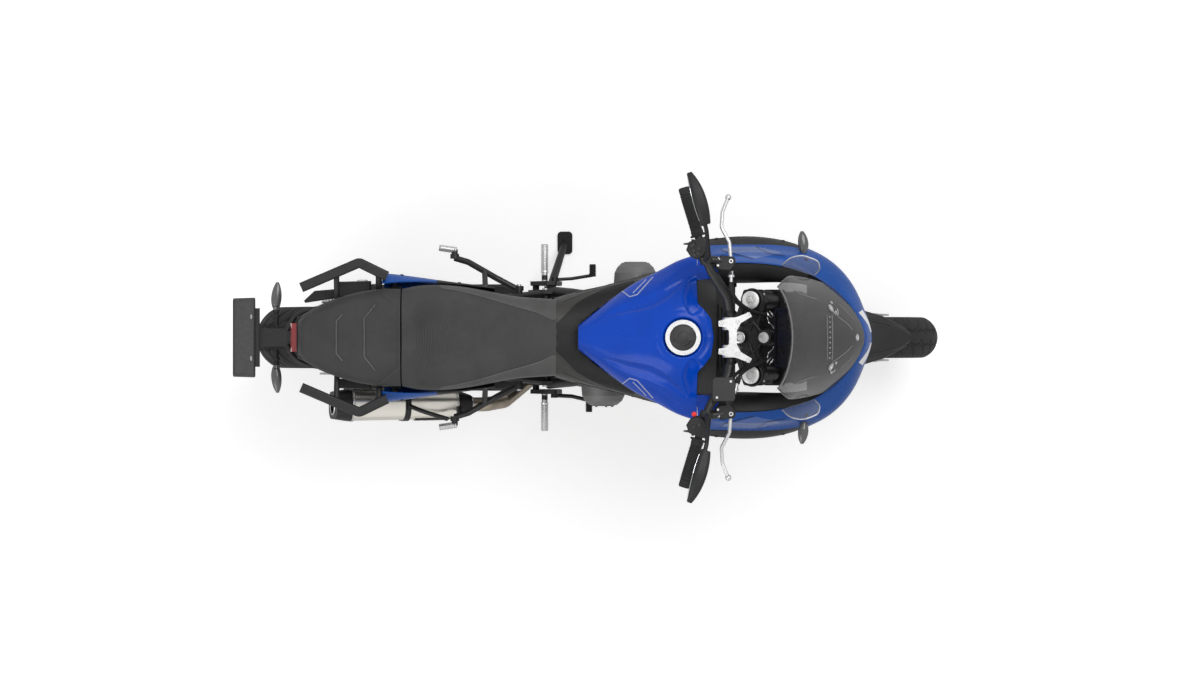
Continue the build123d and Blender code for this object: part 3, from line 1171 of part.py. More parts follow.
def side_stand():
    """Side stand's leg from its fork at the pivot down to a flat foot on the ground."""
    leg = cone(STAND_PIVOT + (STAND_FOOT - STAND_PIVOT) * 0.02, STAND_FOOT + (STAND_FOOT - STAND_PIVOT) * 0.03, 13, 10)
    eye = rod(STAND_PIVOT - STAND_AXIS * 9, STAND_PIVOT + STAND_AXIS * 9, 18)
    bore = rod(STAND_PIVOT - STAND_AXIS * 20, STAND_PIVOT + STAND_AXIS * 20, 8)
    ground = Plane(origin=ground_point(STAND_FOOT), x_dir=(1, 0, 0), z_dir=ground_normal())
    foot = extrude(ground * RectangleRounded(46, 70, 12), amount=FOOT_T)
    slab = extrude(ground * Rectangle(300, 300), amount=-60)
    return cut(join(leg, eye, foot), slab, bore)


def stand_bracket():
    """Bracket from the crankcase that carries the stand's pivot bolt."""
    bolt = rod(STAND_PIVOT - STAND_AXIS * 26, STAND_PIVOT + STAND_AXIS * 11, 8 - RUN_GAP)
    pad = rod(STAND_PIVOT - STAND_AXIS * 26, STAND_PIVOT - STAND_AXIS * (9 + RUN_GAP), 17)
    plate = side_plate([(-174, 250), (-206, 372), (-112, 372), (-126, 250)], 128, 140, 8)
    return join(cut(plate, rod(STAND_PIVOT - STAND_AXIS * (9 + RUN_GAP), STAND_PIVOT + STAND_AXIS * 20, 22)), bolt, pad)


def ground_normal():
    """The floor's upward normal as the upright bike frame sees it once the machine leans."""
    return Vector(0, -sin(radians(LEAN)), cos(radians(LEAN)))


def sink(crown_r):
    """How far a leaning tyre's lowest point is below the upright one, in the leaned frame."""
    return -crown_r * (1 - cos(radians(LEAN)))


FLOOR_SINK = (sink(FRONT_CROWN_R) + sink(REAR_CROWN_R)) / 2


def ground_point(above):
    """The point of the floor below a point of the bike frame, along the bike's own Z."""
    normal = ground_normal()
    z = (FLOOR_SINK - above.Y * normal.Y) / normal.Z
    return Vector(above.X, above.Y, z)


def park(nodes):
    """Leans the upright machine onto its stand and sets the origin below the middle of its box."""
    slope = degrees(atan2(sink(FRONT_CROWN_R) - sink(REAR_CROWN_R), WHEELBASE))
    turn = Rot(0, slope, 0) * Rot(-LEAN, 0, 0)
    leaned = {name: turn * shape for name, shape in nodes.items()}
    boxes = [shape.bounding_box() for shape in leaned.values()]
    low = [min(tuple(box.min)[i] for box in boxes) for i in range(3)]
    high = [max(tuple(box.max)[i] for box in boxes) for i in range(3)]
    shift = Pos(-(low[0] + high[0]) / 2, -(low[1] + high[1]) / 2, -low[2])
    print("park turn", LEAN, slope, "shift", shift.position)
    return {name: shift * shape for name, shape in leaned.items()}


NODES = {
    "front_tyre": front_tyre,
    "rear_tyre": rear_tyre,
    "front_rim": front_rim,
    "rear_rim": rear_rim,
    "front_discs": front_discs,
    "rear_disc": rear_disc,
    "rear_sprocket": rear_sprocket,
    "fork_tubes": fork_tubes,
    "fork_sliders": fork_sliders,
    "front_axle": front_axle,
    "fork_yokes": fork_yokes,
    "handlebar": handlebar,
    "grips": grips,
    "hand_levers": hand_levers,
    "lever_perches": lever_perches,
    "switch_pods": switch_pods,
    "mirrors": mirrors,
    "bar_clamp": bar_clamp,
    "front_mudguard": front_mudguard,
    "front_calipers": front_calipers,
    "frame": frame,
    "swingarm": swingarm,
    "rear_axle": rear_axle,
    "rear_hugger": rear_hugger,
    "rear_caliper": rear_caliper,
    "engine_case": engine_case,
    "engine_covers": engine_covers,
    "drive_chain": drive_chain,
    "airbox": airbox,
    "radiator": radiator,
    "shock": shock,
    "exhaust_pipes": exhaust_pipes,
    "silencer": silencer,
    "fuel_tank": fuel_tank,
    "filler_cap": filler_cap,
    "tank_covers": tank_covers,
    "rider_seat": rider_seat,
    "under_tray": under_tray,
    "pillion_seat": pillion_seat,
    "tail_unit": tail_unit,
    "tail_cowls": tail_cowls,
    "grab_rails": grab_rails,
    "plate_hanger": plate_hanger,
    "number_plate": number_plate,
    "signal_lamps": signal_lamps,
    "side_fairings": side_fairings,
    "fairing_trims": fairing_trims,
    "nose_fairing": nose_fairing,
    "headlamps": headlamps,
    "fairing_stay": fairing_stay,
    "windscreen": windscreen,
    "side_deflectors": side_deflectors,
    "instrument_panel": instrument_panel,
    "footpeg_hangers": footpeg_hangers,
    "footpegs": footpegs,
    "foot_levers": foot_levers,
    "side_stand": side_stand,
}


def main():
    os.makedirs("parts", exist_ok=True)
    made = {}
    for name, make in NODES.items():
        made[name] = make()
    for name, shape in park(made).items():
        export_step(shape, f"parts/{name}.step")


main()
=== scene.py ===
"""Looks for the parked adventure motorcycle: materials, sculpted bodywork, tread, cables and fasteners.

Points are given in the bike's own upright frame, in millimetres (X forward, Y to the rider's left, Z up).
put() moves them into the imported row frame, in metres, where the machine leans on its side stand.
"""

from math import asin, atan2, cos, pi, radians, sin, sqrt

import bmesh
import bpy
import numpy as np
from mathutils import Matrix, Vector
from mathutils.bvhtree import BVHTree


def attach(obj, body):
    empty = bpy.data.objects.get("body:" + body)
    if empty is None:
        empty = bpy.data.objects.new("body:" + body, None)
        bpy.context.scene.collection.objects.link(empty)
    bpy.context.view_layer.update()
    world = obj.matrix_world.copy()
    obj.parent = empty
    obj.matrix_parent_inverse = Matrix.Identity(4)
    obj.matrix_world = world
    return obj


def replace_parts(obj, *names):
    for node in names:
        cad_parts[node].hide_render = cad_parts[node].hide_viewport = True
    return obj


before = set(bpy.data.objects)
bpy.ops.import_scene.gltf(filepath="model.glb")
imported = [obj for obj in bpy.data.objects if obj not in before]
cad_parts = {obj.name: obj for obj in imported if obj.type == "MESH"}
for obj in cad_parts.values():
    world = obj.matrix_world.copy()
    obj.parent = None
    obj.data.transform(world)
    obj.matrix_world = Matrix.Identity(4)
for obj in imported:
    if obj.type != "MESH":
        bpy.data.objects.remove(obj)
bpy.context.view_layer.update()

# ---------------------------------------------------------------- the parked pose and the steering frame
LEAN, SLOPE = 10.0, 0.01958822  # degrees, to the left and nose up
SHIFT = Vector((30.2465, -213.801, 1.2154))
PARK = (
    Matrix.Scale(0.001, 4) @ Matrix.Translation(SHIFT)
    @ Matrix.Rotation(radians(SLOPE), 4, "Y") @ Matrix.Rotation(radians(-LEAN), 4, "X")
)
UNPARK = PARK.inverted()
PARK_NP = np.array(PARK)
UP = np.array((0.0, 0.0, 1.0))
RAKE = radians(23.8)
STEER_X = np.array((cos(RAKE), 0, sin(RAKE)))
STEER_Z = np.array((-sin(RAKE), 0, cos(RAKE)))
FRONT_AXLE, REAR_AXLE = np.array((711.0, 0, 300.0)), np.array((-711.0, 0, 315.0))
FORK_OFFSET, FORK_Y = 33.5, 104.0
STEER_ORIGIN = FRONT_AXLE - STEER_X * FORK_OFFSET
CAP = np.array((230.0, 0.0, 1002.0))  # top of the filler's lid
SIDES = ((1, "left"), (-1, "right"))


def put(points):
    """Bike-frame millimetres to row-frame metres, as an array of points."""
    points = np.asarray(points, float).reshape(-1, 3)
    return points @ PARK_NP[:3, :3].T + PARK_NP[:3, 3]


def steer(x, y, z):
    """A point of the steering frame, in the bike frame."""
    return STEER_ORIGIN + STEER_X * x + STEER_Z * z + np.array((0, y, 0))


def sided(line, side):
    """A line of points as drawn for the left side, or moved to the right side by -1."""
    return [(x, side * y, *rest) for x, y, *rest in line]


def flip(line):
    """A line of points moved to the machine's other side."""
    return sided(line, -1)


def mirror(point, side):
    """One point, as drawn for the left side or moved to the right side by -1."""
    return np.array((point[0], side * point[1], point[2]), float)


def both(parts_of):
    """The parts for the left side and the same for the right."""
    return [part for side, _ in SIDES for part in parts_of(side)]


# ---------------------------------------------------------------- materials
def ramp(tree, value, low, high, low_colour, high_colour):
    """A colour ramp between two positions of a texture's value."""
    node = tree.nodes.new("ShaderNodeValToRGB")
    for element, position, colour in zip(node.color_ramp.elements, (low, high), (low_colour, high_colour)):
        element.position = position
        element.color = (*colour, 1)
    tree.links.new(value, node.inputs[0])
    return node.outputs[0]


def texture(tree, kind, scale, stretch=(1, 1, 1)):
    """A procedural texture in the object's own coordinates."""
    place = tree.nodes.new("ShaderNodeTexCoord")
    mapping = tree.nodes.new("ShaderNodeMapping")
    mapping.inputs["Scale"].default_value = stretch
    tree.links.new(place.outputs["Object"], mapping.inputs["Vector"])
    node = tree.nodes.new({"noise": "ShaderNodeTexNoise", "cells": "ShaderNodeTexVoronoi"}[kind])
    node.inputs["Scale"].default_value = scale
    tree.links.new(mapping.outputs["Vector"], node.inputs["Vector"])
    return node.outputs[0]


def material(
    name, colour, rough, metal=0.0, tone=0.12, tone_scale=14.0, grain=900.0, bump=0.05, kind="noise",
    stretch=(1, 1, 1), rough_vary=0.06, coat=0.0, alpha=1.0, sheen=0.0, gloss=0.4,
):
    """A finish with its own colour variation, roughness variation and surface grain."""
    out = bpy.data.materials.new(name)
    out.use_nodes = True
    tree = out.node_tree
    shader = tree.nodes["Principled BSDF"]
    for socket, value in (
        ("Metallic", metal), ("Coat Weight", coat), ("Coat Roughness", 0.04), ("Sheen Weight", sheen),
        ("Alpha", alpha), ("Specular IOR Level", gloss),
    ):
        shader.inputs[socket].default_value = value
    colour = np.array(colour)
    dark, light = tuple(colour * (1 - tone)), tuple(np.minimum(colour * (1 + tone), 1))
    broad = texture(tree, "noise", tone_scale)
    tree.links.new(ramp(tree, broad, 0.3, 0.7, dark, light), shader.inputs["Base Color"])
    low, high = max(rough - rough_vary, 0.02), min(rough + rough_vary, 1)
    fine = texture(tree, "noise", tone_scale * 6)
    tree.links.new(ramp(tree, fine, 0.25, 0.75, (low,) * 3, (high,) * 3), shader.inputs["Roughness"])
    if bump:
        node = tree.nodes.new("ShaderNodeBump")
        node.inputs["Strength"].default_value = bump
        node.inputs["Distance"].default_value = 0.0006
        tree.links.new(texture(tree, kind, grain, stretch), node.inputs["Height"])
        tree.links.new(node.outputs["Normal"], shader.inputs["Normal"])
    return out


PAINT = {"tone": 0.06, "grain": 260, "bump": 0.004}
VINYL = {"bump": 0.5, "kind": "cells", "sheen": 0.05, "gloss": 0.3}
MOULDED = {"grain": 1300, "bump": 0.25, "kind": "cells"}
GLASS = {"bump": 0.01}
TINTED = {"tone": 0.1, "grain": 500, "bump": 0.1, "coat": 0.6}
FINISHES = {  # colour, roughness, and what differs from material()'s own values
    "tank_blue": ((0.0, 0.056, 0.47), 0.24, dict(PAINT, coat=0.08, gloss=0.18)),
    "panel_blue": ((0.01, 0.075, 0.33), 0.3, dict(PAINT, coat=0.06, gloss=0.2)),
    # paler copy of panel_blue: painted highlight for the sheen on the fairing's painted bands
    "painted_highlight_blue": ((0.07, 0.13, 0.36), 0.32, dict(PAINT, tone=0.05, coat=0.2, gloss=0.3)),
    "seat_top": ((0.042, 0.042, 0.042), 0.62, VINYL),
    "seat_side": ((0.075, 0.074, 0.073), 0.55, dict(VINYL, bump=0.4)),
    "seat_rear": ((0.034, 0.034, 0.034), 0.6, VINYL),
    "stitch": ((0.12, 0.12, 0.12), 0.6, dict(bump=0.1)),
    "trim_black": ((0.007, 0.007, 0.007), 0.5, dict(bump=0.2, kind="cells", gloss=0.25)),
    "plastic": ((0.014, 0.014, 0.015), 0.45, dict(MOULDED, gloss=0.3)),
    "grey_plastic": ((0.034, 0.033, 0.031), 0.45, dict(MOULDED, gloss=0.35)),
    "dark_grey": ((0.03, 0.03, 0.031), 0.45, dict(MOULDED, gloss=0.3)),
    "cover_grey": ((0.17, 0.17, 0.168), 0.5, dict(metal=0.3, tone=0.06, grain=700, bump=0.15)),
    "satin_metal": ((0.016, 0.016, 0.017), 0.4, dict(metal=0.2, grain=1800, bump=0.1)),
    "engine": ((0.06, 0.06, 0.062), 0.45, dict(metal=0.4, bump=0.2)),
    "rubber": ((0.02, 0.02, 0.021), 0.75, dict(grain=1100, bump=0.3, gloss=0.3)),
    "grip": ((0.022, 0.022, 0.023), 0.75, dict(grain=700, bump=0.5, kind="cells", gloss=0.3)),
    "silver": ((0.62, 0.62, 0.62), 0.3, dict(metal=0.75, tone=0.05, grain=400, bump=0.02)),
    "aluminium": ((0.55, 0.55, 0.56), 0.34, dict(metal=0.9, tone=0.08, grain=400, bump=0.03)),
    "chrome": ((0.6, 0.6, 0.62), 0.12, dict(metal=1.0, tone=0.05, grain=2500, bump=0.02)),
    "disc": ((0.5, 0.5, 0.51), 0.3, dict(metal=1.0, tone=0.06, grain=300, bump=0.03)),
    "chain": ((0.22, 0.2, 0.16), 0.4, dict(metal=0.9, grain=700, bump=0.1)),
    "steel": (
        (0.72, 0.69, 0.63), 0.3,
        dict(metal=0.9, tone=0.05, tone_scale=5, grain=40, bump=0.01, rough_vary=0.03),
    ),
    "cap_silver": ((0.82, 0.82, 0.81), 0.4, dict(metal=0.5, tone=0.03, grain=300, bump=0.02)),
    "header": ((0.34, 0.29, 0.23), 0.34, dict(metal=0.95, tone=0.3, tone_scale=8, bump=0.06)),
    "screen": ((0.04, 0.038, 0.038), 0.08, dict(GLASS, tone=0.1, alpha=0.62, gloss=0.5)),
    # paler copy of the screen's tint: painted highlight along the screen's rims, slot and moulded lines
    "screen_edge_highlight": ((0.2, 0.19, 0.19), 0.12, dict(GLASS, tone=0.1, alpha=0.85, coat=0.3)),
    "clear": ((0.5, 0.52, 0.56), 0.06, dict(GLASS, tone=0.05, alpha=0.22, coat=0.3)),
    # near-white copy of the clear plastic: painted highlight along the side deflectors' edges
    "clear_edge_highlight": ((0.8, 0.8, 0.82), 0.12, dict(GLASS, tone=0.05, alpha=0.85, coat=0.5)),
    "lens": ((0.75, 0.77, 0.8), 0.08, dict(GLASS, tone=0.05, alpha=0.45, coat=0.5)),
    "smoke_lens": ((0.09, 0.09, 0.09), 0.15, TINTED),
    "red_lens": ((0.3, 0.01, 0.012), 0.12, TINTED),
    "display": ((0.006, 0.006, 0.008), 0.3, dict(tone=0.3, bump=0.01)),
    "white": ((0.84, 0.84, 0.85), 0.3, dict(tone=0.02, bump=0.01, gloss=0.3)),
    "outline": ((0.36, 0.4, 0.58), 0.3, dict(tone=0.03, bump=0.01, gloss=0.3)),
    "red": ((0.75, 0.03, 0.02), 0.35, dict(tone=0.05)),
    "core": ((0.03, 0.03, 0.032), 0.5, dict(metal=0.4, grain=260, bump=0.9, stretch=(1, 0.2, 9))),
    "mirror": ((0.85, 0.87, 0.9), 0.03, dict(metal=1.0, tone=0.01, bump=0.01)),
}
MAT = {name: material(name, colour, rough, **rest) for name, (colour, rough, rest) in FINISHES.items()}
NODE_FINISH = {
    "rubber": ("front_tyre", "rear_tyre"),
    "disc": ("front_discs", "rear_disc"),
    "chain": ("rear_sprocket", "drive_chain"),
    "chrome": ("fork_sliders",),
    "aluminium": ("front_axle", "rear_axle"),
    "grip": ("grips",),
    "silver": ("hand_levers", "bar_clamp", "filler_cap", "footpegs"),
    "satin_metal": (
        "front_rim", "rear_rim", "fork_tubes", "fork_yokes", "handlebar", "lever_perches", "front_calipers",
        "rear_caliper", "frame", "swingarm", "shock", "fairing_stay", "footpeg_hangers", "foot_levers",
        "side_stand",
    ),
    "plastic": (
        "switch_pods", "mirrors", "front_mudguard", "rear_hugger", "airbox", "under_tray", "tail_unit",
        "grab_rails", "plate_hanger", "fairing_trims",
    ),
    "engine": ("engine_case",),
    "grey_plastic": ("tank_covers",),
    "cover_grey": ("engine_covers",),
    "dark_grey": ("number_plate",),
    "core": ("radiator",),
    "header": ("exhaust_pipes",),
    "steel": ("silencer",),
    "tank_blue": ("fuel_tank",),
    "seat_top": ("rider_seat",),
    "seat_rear": ("pillion_seat",),
    "panel_blue": ("tail_cowls", "side_fairings", "nose_fairing"),
    "smoke_lens": ("signal_lamps",),
    "lens": ("headlamps",),
    "screen": ("windscreen",),
    "clear": ("side_deflectors",),
    "display": ("instrument_panel",),
}
SECOND_FINISH = (  # node, finish, and a test on a face's bike-frame centre and normal
    ("filler_cap", "dark_grey", lambda p, n: (p.x - CAP[0]) ** 2 + p.y**2 < 36.85**2),
    ("tank_covers", "dark_grey", lambda p, n: p.x > 262),
    ("tail_cowls", "plastic", lambda p, n: p.x > -462),
    ("signal_lamps", "red_lens", lambda p, n: -880 < p.x < -840 and abs(p.y) < 60),
    ("radiator", "satin_metal", lambda p, n: abs(n.x) < 0.5 or abs(p.y) > 142),
    ("side_fairings", "plastic", lambda p, n: p.z < 795),
    ("headlamps", "plastic", lambda p, n: n.x < 0.2),
)


def soften(thing, angle):
    """Smooth shading between edges that are sharper than an angle in degrees."""
    thing.data.shade_smooth()
    thing.modifiers.new("edges", "EDGE_SPLIT").split_angle = radians(angle)


def repaint(thing, finish, chooses):
    """A second finish for the faces that a test on their bike-frame centre and normal picks."""
    data = thing.data
    data.materials.append(MAT[finish])
    last = len(data.materials) - 1
    turn = UNPARK.to_3x3()
    for face in data.polygons:
        if chooses(UNPARK @ face.center, (turn @ face.normal).normalized()):
            face.material_index = last


def dress_nodes():
    """Gives every CAD node its finish."""
    for finish, nodes in NODE_FINISH.items():
        for node in nodes:
            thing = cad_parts[node]
            thing.data.materials.clear()
            thing.data.materials.append(MAT[finish])
            soften(thing, 32)
    for node, finish, chooses in SECOND_FINISH:
        repaint(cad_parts[node], finish, chooses)


dress_nodes()


# ---------------------------------------------------------------- mesh helpers
def across(way):
    """Two directions square to a way."""
    way = np.asarray(way, float) / np.linalg.norm(way)
    side = np.cross(way, UP if abs(way[2]) < 0.9 else (1.0, 0.0, 0.0))
    side /= np.linalg.norm(side)
    return side, np.cross(way, side)


def grid_faces(rows, cols, wrap_rows=False, wrap_cols=False):
    """Quads over a grid of points, row by row."""
    faces = []
    for i in range(rows if wrap_rows else rows - 1):
        here, after = i * cols, (i + 1) % rows * cols
        for j in range(cols if wrap_cols else cols - 1):
            k = (j + 1) % cols
            faces.append((here + j, here + k, after + k, after + j))
    return faces


def closed_sheet(top, under):
    """A closed mesh from two grids of points that share their rims' order."""
    rows, cols = top.shape[:2]
    count = rows * cols
    faces = grid_faces(rows, cols)
    faces += [tuple(i + count for i in quad[::-1]) for quad in grid_faces(rows, cols)]
    rim = list(range(cols)) + [row * cols + cols - 1 for row in range(1, rows)]
    rim += [count - 1 - col for col in range(1, cols)] + [row * cols for row in range(rows - 2, 0, -1)]
    faces += [(p, q, q + count, p + count) for p, q in zip(rim, rim[1:] + rim[:1])]
    return np.concatenate([top.reshape(-1, 3), under.reshape(-1, 3)]), faces


def grid_normals(grid):
    """Unit normals over a grid of points."""
    normal = np.cross(np.gradient(grid, axis=0), np.gradient(grid, axis=1))
    return normal / np.maximum(np.linalg.norm(normal, axis=2, keepdims=True), 1e-9)


def smooth_curve(knots, values, at):
    """Smooth interpolation through values at knots, one column at a time."""
    knots, values, at = np.asarray(knots, float), np.asarray(values, float), np.asarray(at, float)
    slopes = np.gradient(values, knots, axis=0)
    i = np.clip(np.searchsorted(knots, at) - 1, 0, len(knots) - 2)
    h = (knots[i + 1] - knots[i])[:, None]
    t = np.clip((at - knots[i]) / (knots[i + 1] - knots[i]), 0, 1)[:, None]
    a, b = values[i], values[i + 1]
    return (
        a * (2 * t**3 - 3 * t**2 + 1) + b * (3 * t**2 - 2 * t**3)
        + slopes[i] * h * (t**3 - 2 * t**2 + t) + slopes[i + 1] * h * (t**3 - t**2)
    )


def resample(line, count, smooth=True):
    """A polyline sampled evenly, along a smooth curve or along its straight runs."""
    line = np.asarray(line, float)
    run = np.concatenate([[0], np.cumsum(np.linalg.norm(np.diff(line, axis=0), axis=1))])
    at = np.linspace(0, run[-1], count)
    if smooth:
        return smooth_curve(run, line, at)
    return np.stack([np.interp(at, run, line[:, k]) for k in range(line.shape[1])], axis=1)


def placed(name, data):
    """A new object of the scene."""
    thing = bpy.data.objects.new(name, data)
    bpy.context.scene.collection.objects.link(thing)
    return thing


def piece(name, parts, finish, body="chassis", angle=35):
    """One object from meshes of bike-frame points, riding on a CAD body."""
    points, faces, start = [], [], 0
    for some, quads in parts:
        some = np.asarray(some, float).reshape(-1, 3)
        points.append(some)
        faces += [tuple(int(i) + start for i in quad) for quad in quads]
        start += len(some)
    data = bpy.data.meshes.new(name)
    data.from_pydata([tuple(p) for p in put(np.concatenate(points))], [], faces)
    data.materials.append(MAT[finish])
    data.validate()
    work = bmesh.new()
    work.from_mesh(data)
    bmesh.ops.recalc_face_normals(work, faces=work.faces)
    work.to_mesh(data)
    work.free()
    thing = placed(name, data)
    soften(thing, angle)
    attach(thing, body)
    return thing


def weld(thing):
    """Merges a piece's coincident points and drops faces without area."""
    work = bmesh.new()
    work.from_mesh(thing.data)
    bmesh.ops.remove_doubles(work, verts=work.verts, dist=2e-6)
    bmesh.ops.dissolve_degenerate(work, edges=work.edges, dist=1e-7)
    bmesh.ops.recalc_face_normals(work, faces=work.faces)
    work.to_mesh(thing.data)
    work.free()


def rings(rows, sides):
    """Faces of a closed stack of rings."""
    faces = grid_faces(rows, sides, wrap_cols=True)
    return [*faces, tuple(range(sides))[::-1], tuple(range((rows - 1) * sides, rows * sides))]


def tube(line, radius, sides=12, samples=0, swell=None):
    """A round tube along a line, closed at its ends; swell(share) scales its radius along the way."""
    line = resample(line, samples) if samples else np.asarray(line, float)
    tangents = np.gradient(line, axis=0)
    tangents /= np.linalg.norm(tangents, axis=1, keepdims=True)
    side, _ = across(tangents[0])
    turns = np.arange(sides) * 2 * pi / sides
    points = []
    for index, (centre, way) in enumerate(zip(line, tangents)):
        side = side - way * side.dot(way)
        side /= np.linalg.norm(side)
        other = np.cross(way, side)
        here = radius * (swell(index / (len(line) - 1)) if swell else 1.0)
        points += [centre + (side * cos(turn) + other * sin(turn)) * here for turn in turns]
    return points, rings(len(line), sides)


def turned(centre, way, profile, sides=32):
    """A turned piece: profile is a list of (distance along its axis, radius)."""
    centre, way = np.asarray(centre, float), np.asarray(way, float) / np.linalg.norm(way)
    side, other = across(way)
    turns = np.arange(sides) * 2 * pi / sides
    points = [
        centre + way * along + (side * cos(turn) + other * sin(turn)) * max(radius, 0.01)
        for along, radius in profile
        for turn in turns
    ]
    return points, rings(len(profile), sides)


def ring_of(centre, way, radius, wire, sides=40, turn=2 * pi, start=0.0):
    """A wire bent round in a ring, or part of one."""
    side, other = across(way)
    centre = np.asarray(centre, float)
    turns = start + turn * np.arange(sides) / (sides - 1)
    return tube([centre + (side * cos(t) + other * sin(t)) * radius for t in turns], wire, 8)


def bolt(centre, way, radius, height=None):
    """Socket-head bolt: outward along its way, with a recess in its head."""
    height = height or radius * 0.8
    profile = [
        (-1.0, radius), (height * 0.8, radius), (height, radius * 0.85), (height, radius * 0.5),
        (height * 0.45, radius * 0.46), (height * 0.45, 0.0),
    ]
    return turned(centre, way, profile, 18)


def slab(outline, thickness, way=(0, 0, 1), edge=1.2):
    """A flat plate with softened edges from an outline of points."""
    outline, way = np.asarray(outline, float), np.asarray(way, float) / np.linalg.norm(way)
    centre = outline.mean(axis=0)
    inward = centre - outline
    inward /= np.maximum(np.linalg.norm(inward, axis=1, keepdims=True), 1e-6)
    layers = [
        outline + inward * edge, outline + way * edge, outline + way * (thickness - edge),
        outline + inward * edge + way * thickness,
    ]
    return np.concatenate(layers), rings(4, len(outline))


def flat(outline, height, thickness, edge=1.2):
    """A level plate from a plan outline of (x, y), upward from a height."""
    return slab([(x, y, height) for x, y in outline], thickness, edge=edge)


CAST_FROM, CAST_PAST = 1500.0, 300.0  # how far out a ray starts, and where it counts as a miss
CAST_WAYS = {
    "down": (0, 0, -1), "left": (0, -1, 0), "right": (0, 1, 0), "front": (-1, 0, 0), "rear": (1, 0, 0),
}


def caster(thing, way="down"):
    """A function that drops bike-frame points onto a piece or CAD node, giving the spot and its normal.

    From above it takes (x, y), from the left or the right side (x, z), and from the front or the rear (y, z).
    """
    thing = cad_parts[thing] if isinstance(thing, str) else thing
    shape = thing.evaluated_get(bpy.context.evaluated_depsgraph_get()).to_mesh()
    corners = [UNPARK @ v.co for v in shape.vertices]
    tree = BVHTree.FromPolygons(corners, [tuple(face.vertices) for face in shape.polygons])
    ray = Vector(CAST_WAYS[way])

    def drop(a, b):
        spot = {"down": (a, b, 0), "left": (a, 0, b), "right": (a, 0, b)}.get(way, (0, a, b))
        start = Vector(spot) - ray * CAST_FROM
        hit, normal, _, _ = tree.ray_cast(start, ray)
        if hit is None:
            hit, normal, _, _ = tree.find_nearest(start + ray * (CAST_FROM - CAST_PAST))
        return np.array(hit), np.array(-normal if normal.dot(ray) > 0 else normal)

    return drop


def thickened(grid, thick):
    """A closed sheet from a grid of points, thick against its normals."""
    return closed_sheet(grid, grid - grid_normals(grid) * thick)


def skin(lines, rows, cols, thick):
    """A closed sheet through several lines of points, thick on its under side."""
    lines = np.array([resample(line, cols) for line in lines])
    count = len(lines)
    grid = smooth_curve(np.arange(count), lines.reshape(count, -1), np.linspace(0, count - 1, rows))
    return thickened(grid.reshape(rows, cols, 3), thick)


SUNK = 0.6  # how far stripes and patches reach below the surface they lie on


def stripe(drop, line, width, lift=0.5, samples=60, smooth=True, taper=False):
    """A thin stripe that lies on a surface along a plan line of (x, y)."""
    line = resample(line, samples, smooth)
    ways = np.gradient(line, axis=0)
    ways /= np.linalg.norm(ways, axis=1, keepdims=True)
    points = []
    for index, ((x, y), (wx, wy)) in enumerate(zip(line, ways)):
        share = index / (samples - 1)
        half = width / 2 * (min(1, 6 * share, 6 * (1 - share)) * 0.9 + 0.1 if taper else 1)
        for offset, height in ((-half, -SUNK), (-half, lift), (half, lift), (half, -SUNK)):
            spot, normal = drop(x - wy * offset, y + wx * offset)
            points.append(spot + normal * height)
    return points, rings(samples, 4)


def patch(drop, edge_a, edge_b, lift=0.4, along=40, over=10, smooth=False):
    """A thin patch that lies on a surface between two plan lines of (x, y)."""
    a, b = resample(edge_a, along, smooth), resample(edge_b, along, smooth)
    shares = np.arange(over) / (over - 1)
    found = [drop(*(start + (end - start) * share)) for start, end in zip(a, b) for share in shares]
    spots, normals = (np.array(column).reshape(along, over, 3) for column in zip(*found))
    return closed_sheet(spots + normals * lift, spots - normals * SUNK)


def sculpt(sections, rows, cols, front=None):
    """Grid of points over half sections (x, [(y, z)...]), mirrored; front(y) trims its forward edge."""
    sections = sorted(sections)
    xs = np.array([x for x, _ in sections], float)
    lines = np.array([resample(line, cols) for _, line in sections])
    grid = np.zeros((rows, cols, 3))
    share = np.linspace(0, 1, rows)
    for col in range(cols):
        last = xs[-1]
        if front:
            for _ in range(6):
                last = min(front(smooth_curve(xs, lines[:, col], [last])[0][0]), xs[-1])
        at = xs[0] + (last - xs[0]) * share
        grid[:, col, 0] = at
        grid[:, col, 1:] = smooth_curve(xs, lines[:, col], at)
    other = grid[:, :0:-1].copy()
    other[:, :, 1] *= -1
    return np.concatenate([other, grid], axis=1)


def pushed(grid, depth):
    """The grid with each point moved along its normal by depth(x, y)."""
    normal = grid_normals(grid)
    normal *= np.sign(normal[:, grid.shape[1] // 2, 2].mean())
    return grid + normal * depth(grid[:, :, 0], grid[:, :, 1])[:, :, None]


def closed_grid(grid):
    """A closed mesh from a top grid whose rim is joined straight across underneath."""
    share = np.linspace(0, 1, grid.shape[1])[None, :, None]
    return closed_sheet(grid, grid[:, :1] * (1 - share) + grid[:, -1:] * share)


def line_distance(x, y, line):
    """Distance of plan points from a polyline, and how far along it they lie, from 0 to 1."""
    best, along = np.full(x.shape, 1e9), np.zeros(x.shape)
    for index, ((ax, ay), (bx, by)) in enumerate(zip(line, line[1:])):
        dx, dy = bx - ax, by - ay
        t = np.clip(((x - ax) * dx + (y - ay) * dy) / (dx * dx + dy * dy), 0, 1)
        far = np.hypot(x - ax - t * dx, y - ay - t * dy)
        along = np.where(far < best, (index + t) / (len(line) - 1), along)
        best = np.minimum(best, far)
    return best, along


def step(value, edge, soft):
    """0 below an edge and 1 above it, with a soft rise."""
    return 1 / (1 + np.exp(-np.clip((value - edge) / soft, -40, 40)))


# ---------------------------------------------------------------- floor, lights and camera
FLOOR_GLOW = 0.42
WORLD_LIGHT, WORLD_SEEN = 0.42, 1.0
LAMPS = (
    ("key", (1.5, 3.0, 5.0), 4.0, 165.0),
    ("fill", (-3.0, -2.5, 4.5), 4.0, 90.0),
)
EYE_HEIGHT, EYE_LENS = 9500.0, 92.0


def math_node(tree, operation, first):
    """A math node on a value, whose second input is still free."""
    node = tree.nodes.new("ShaderNodeMath")
    node.operation = operation
    tree.links.new(first, node.inputs[0])
    return node


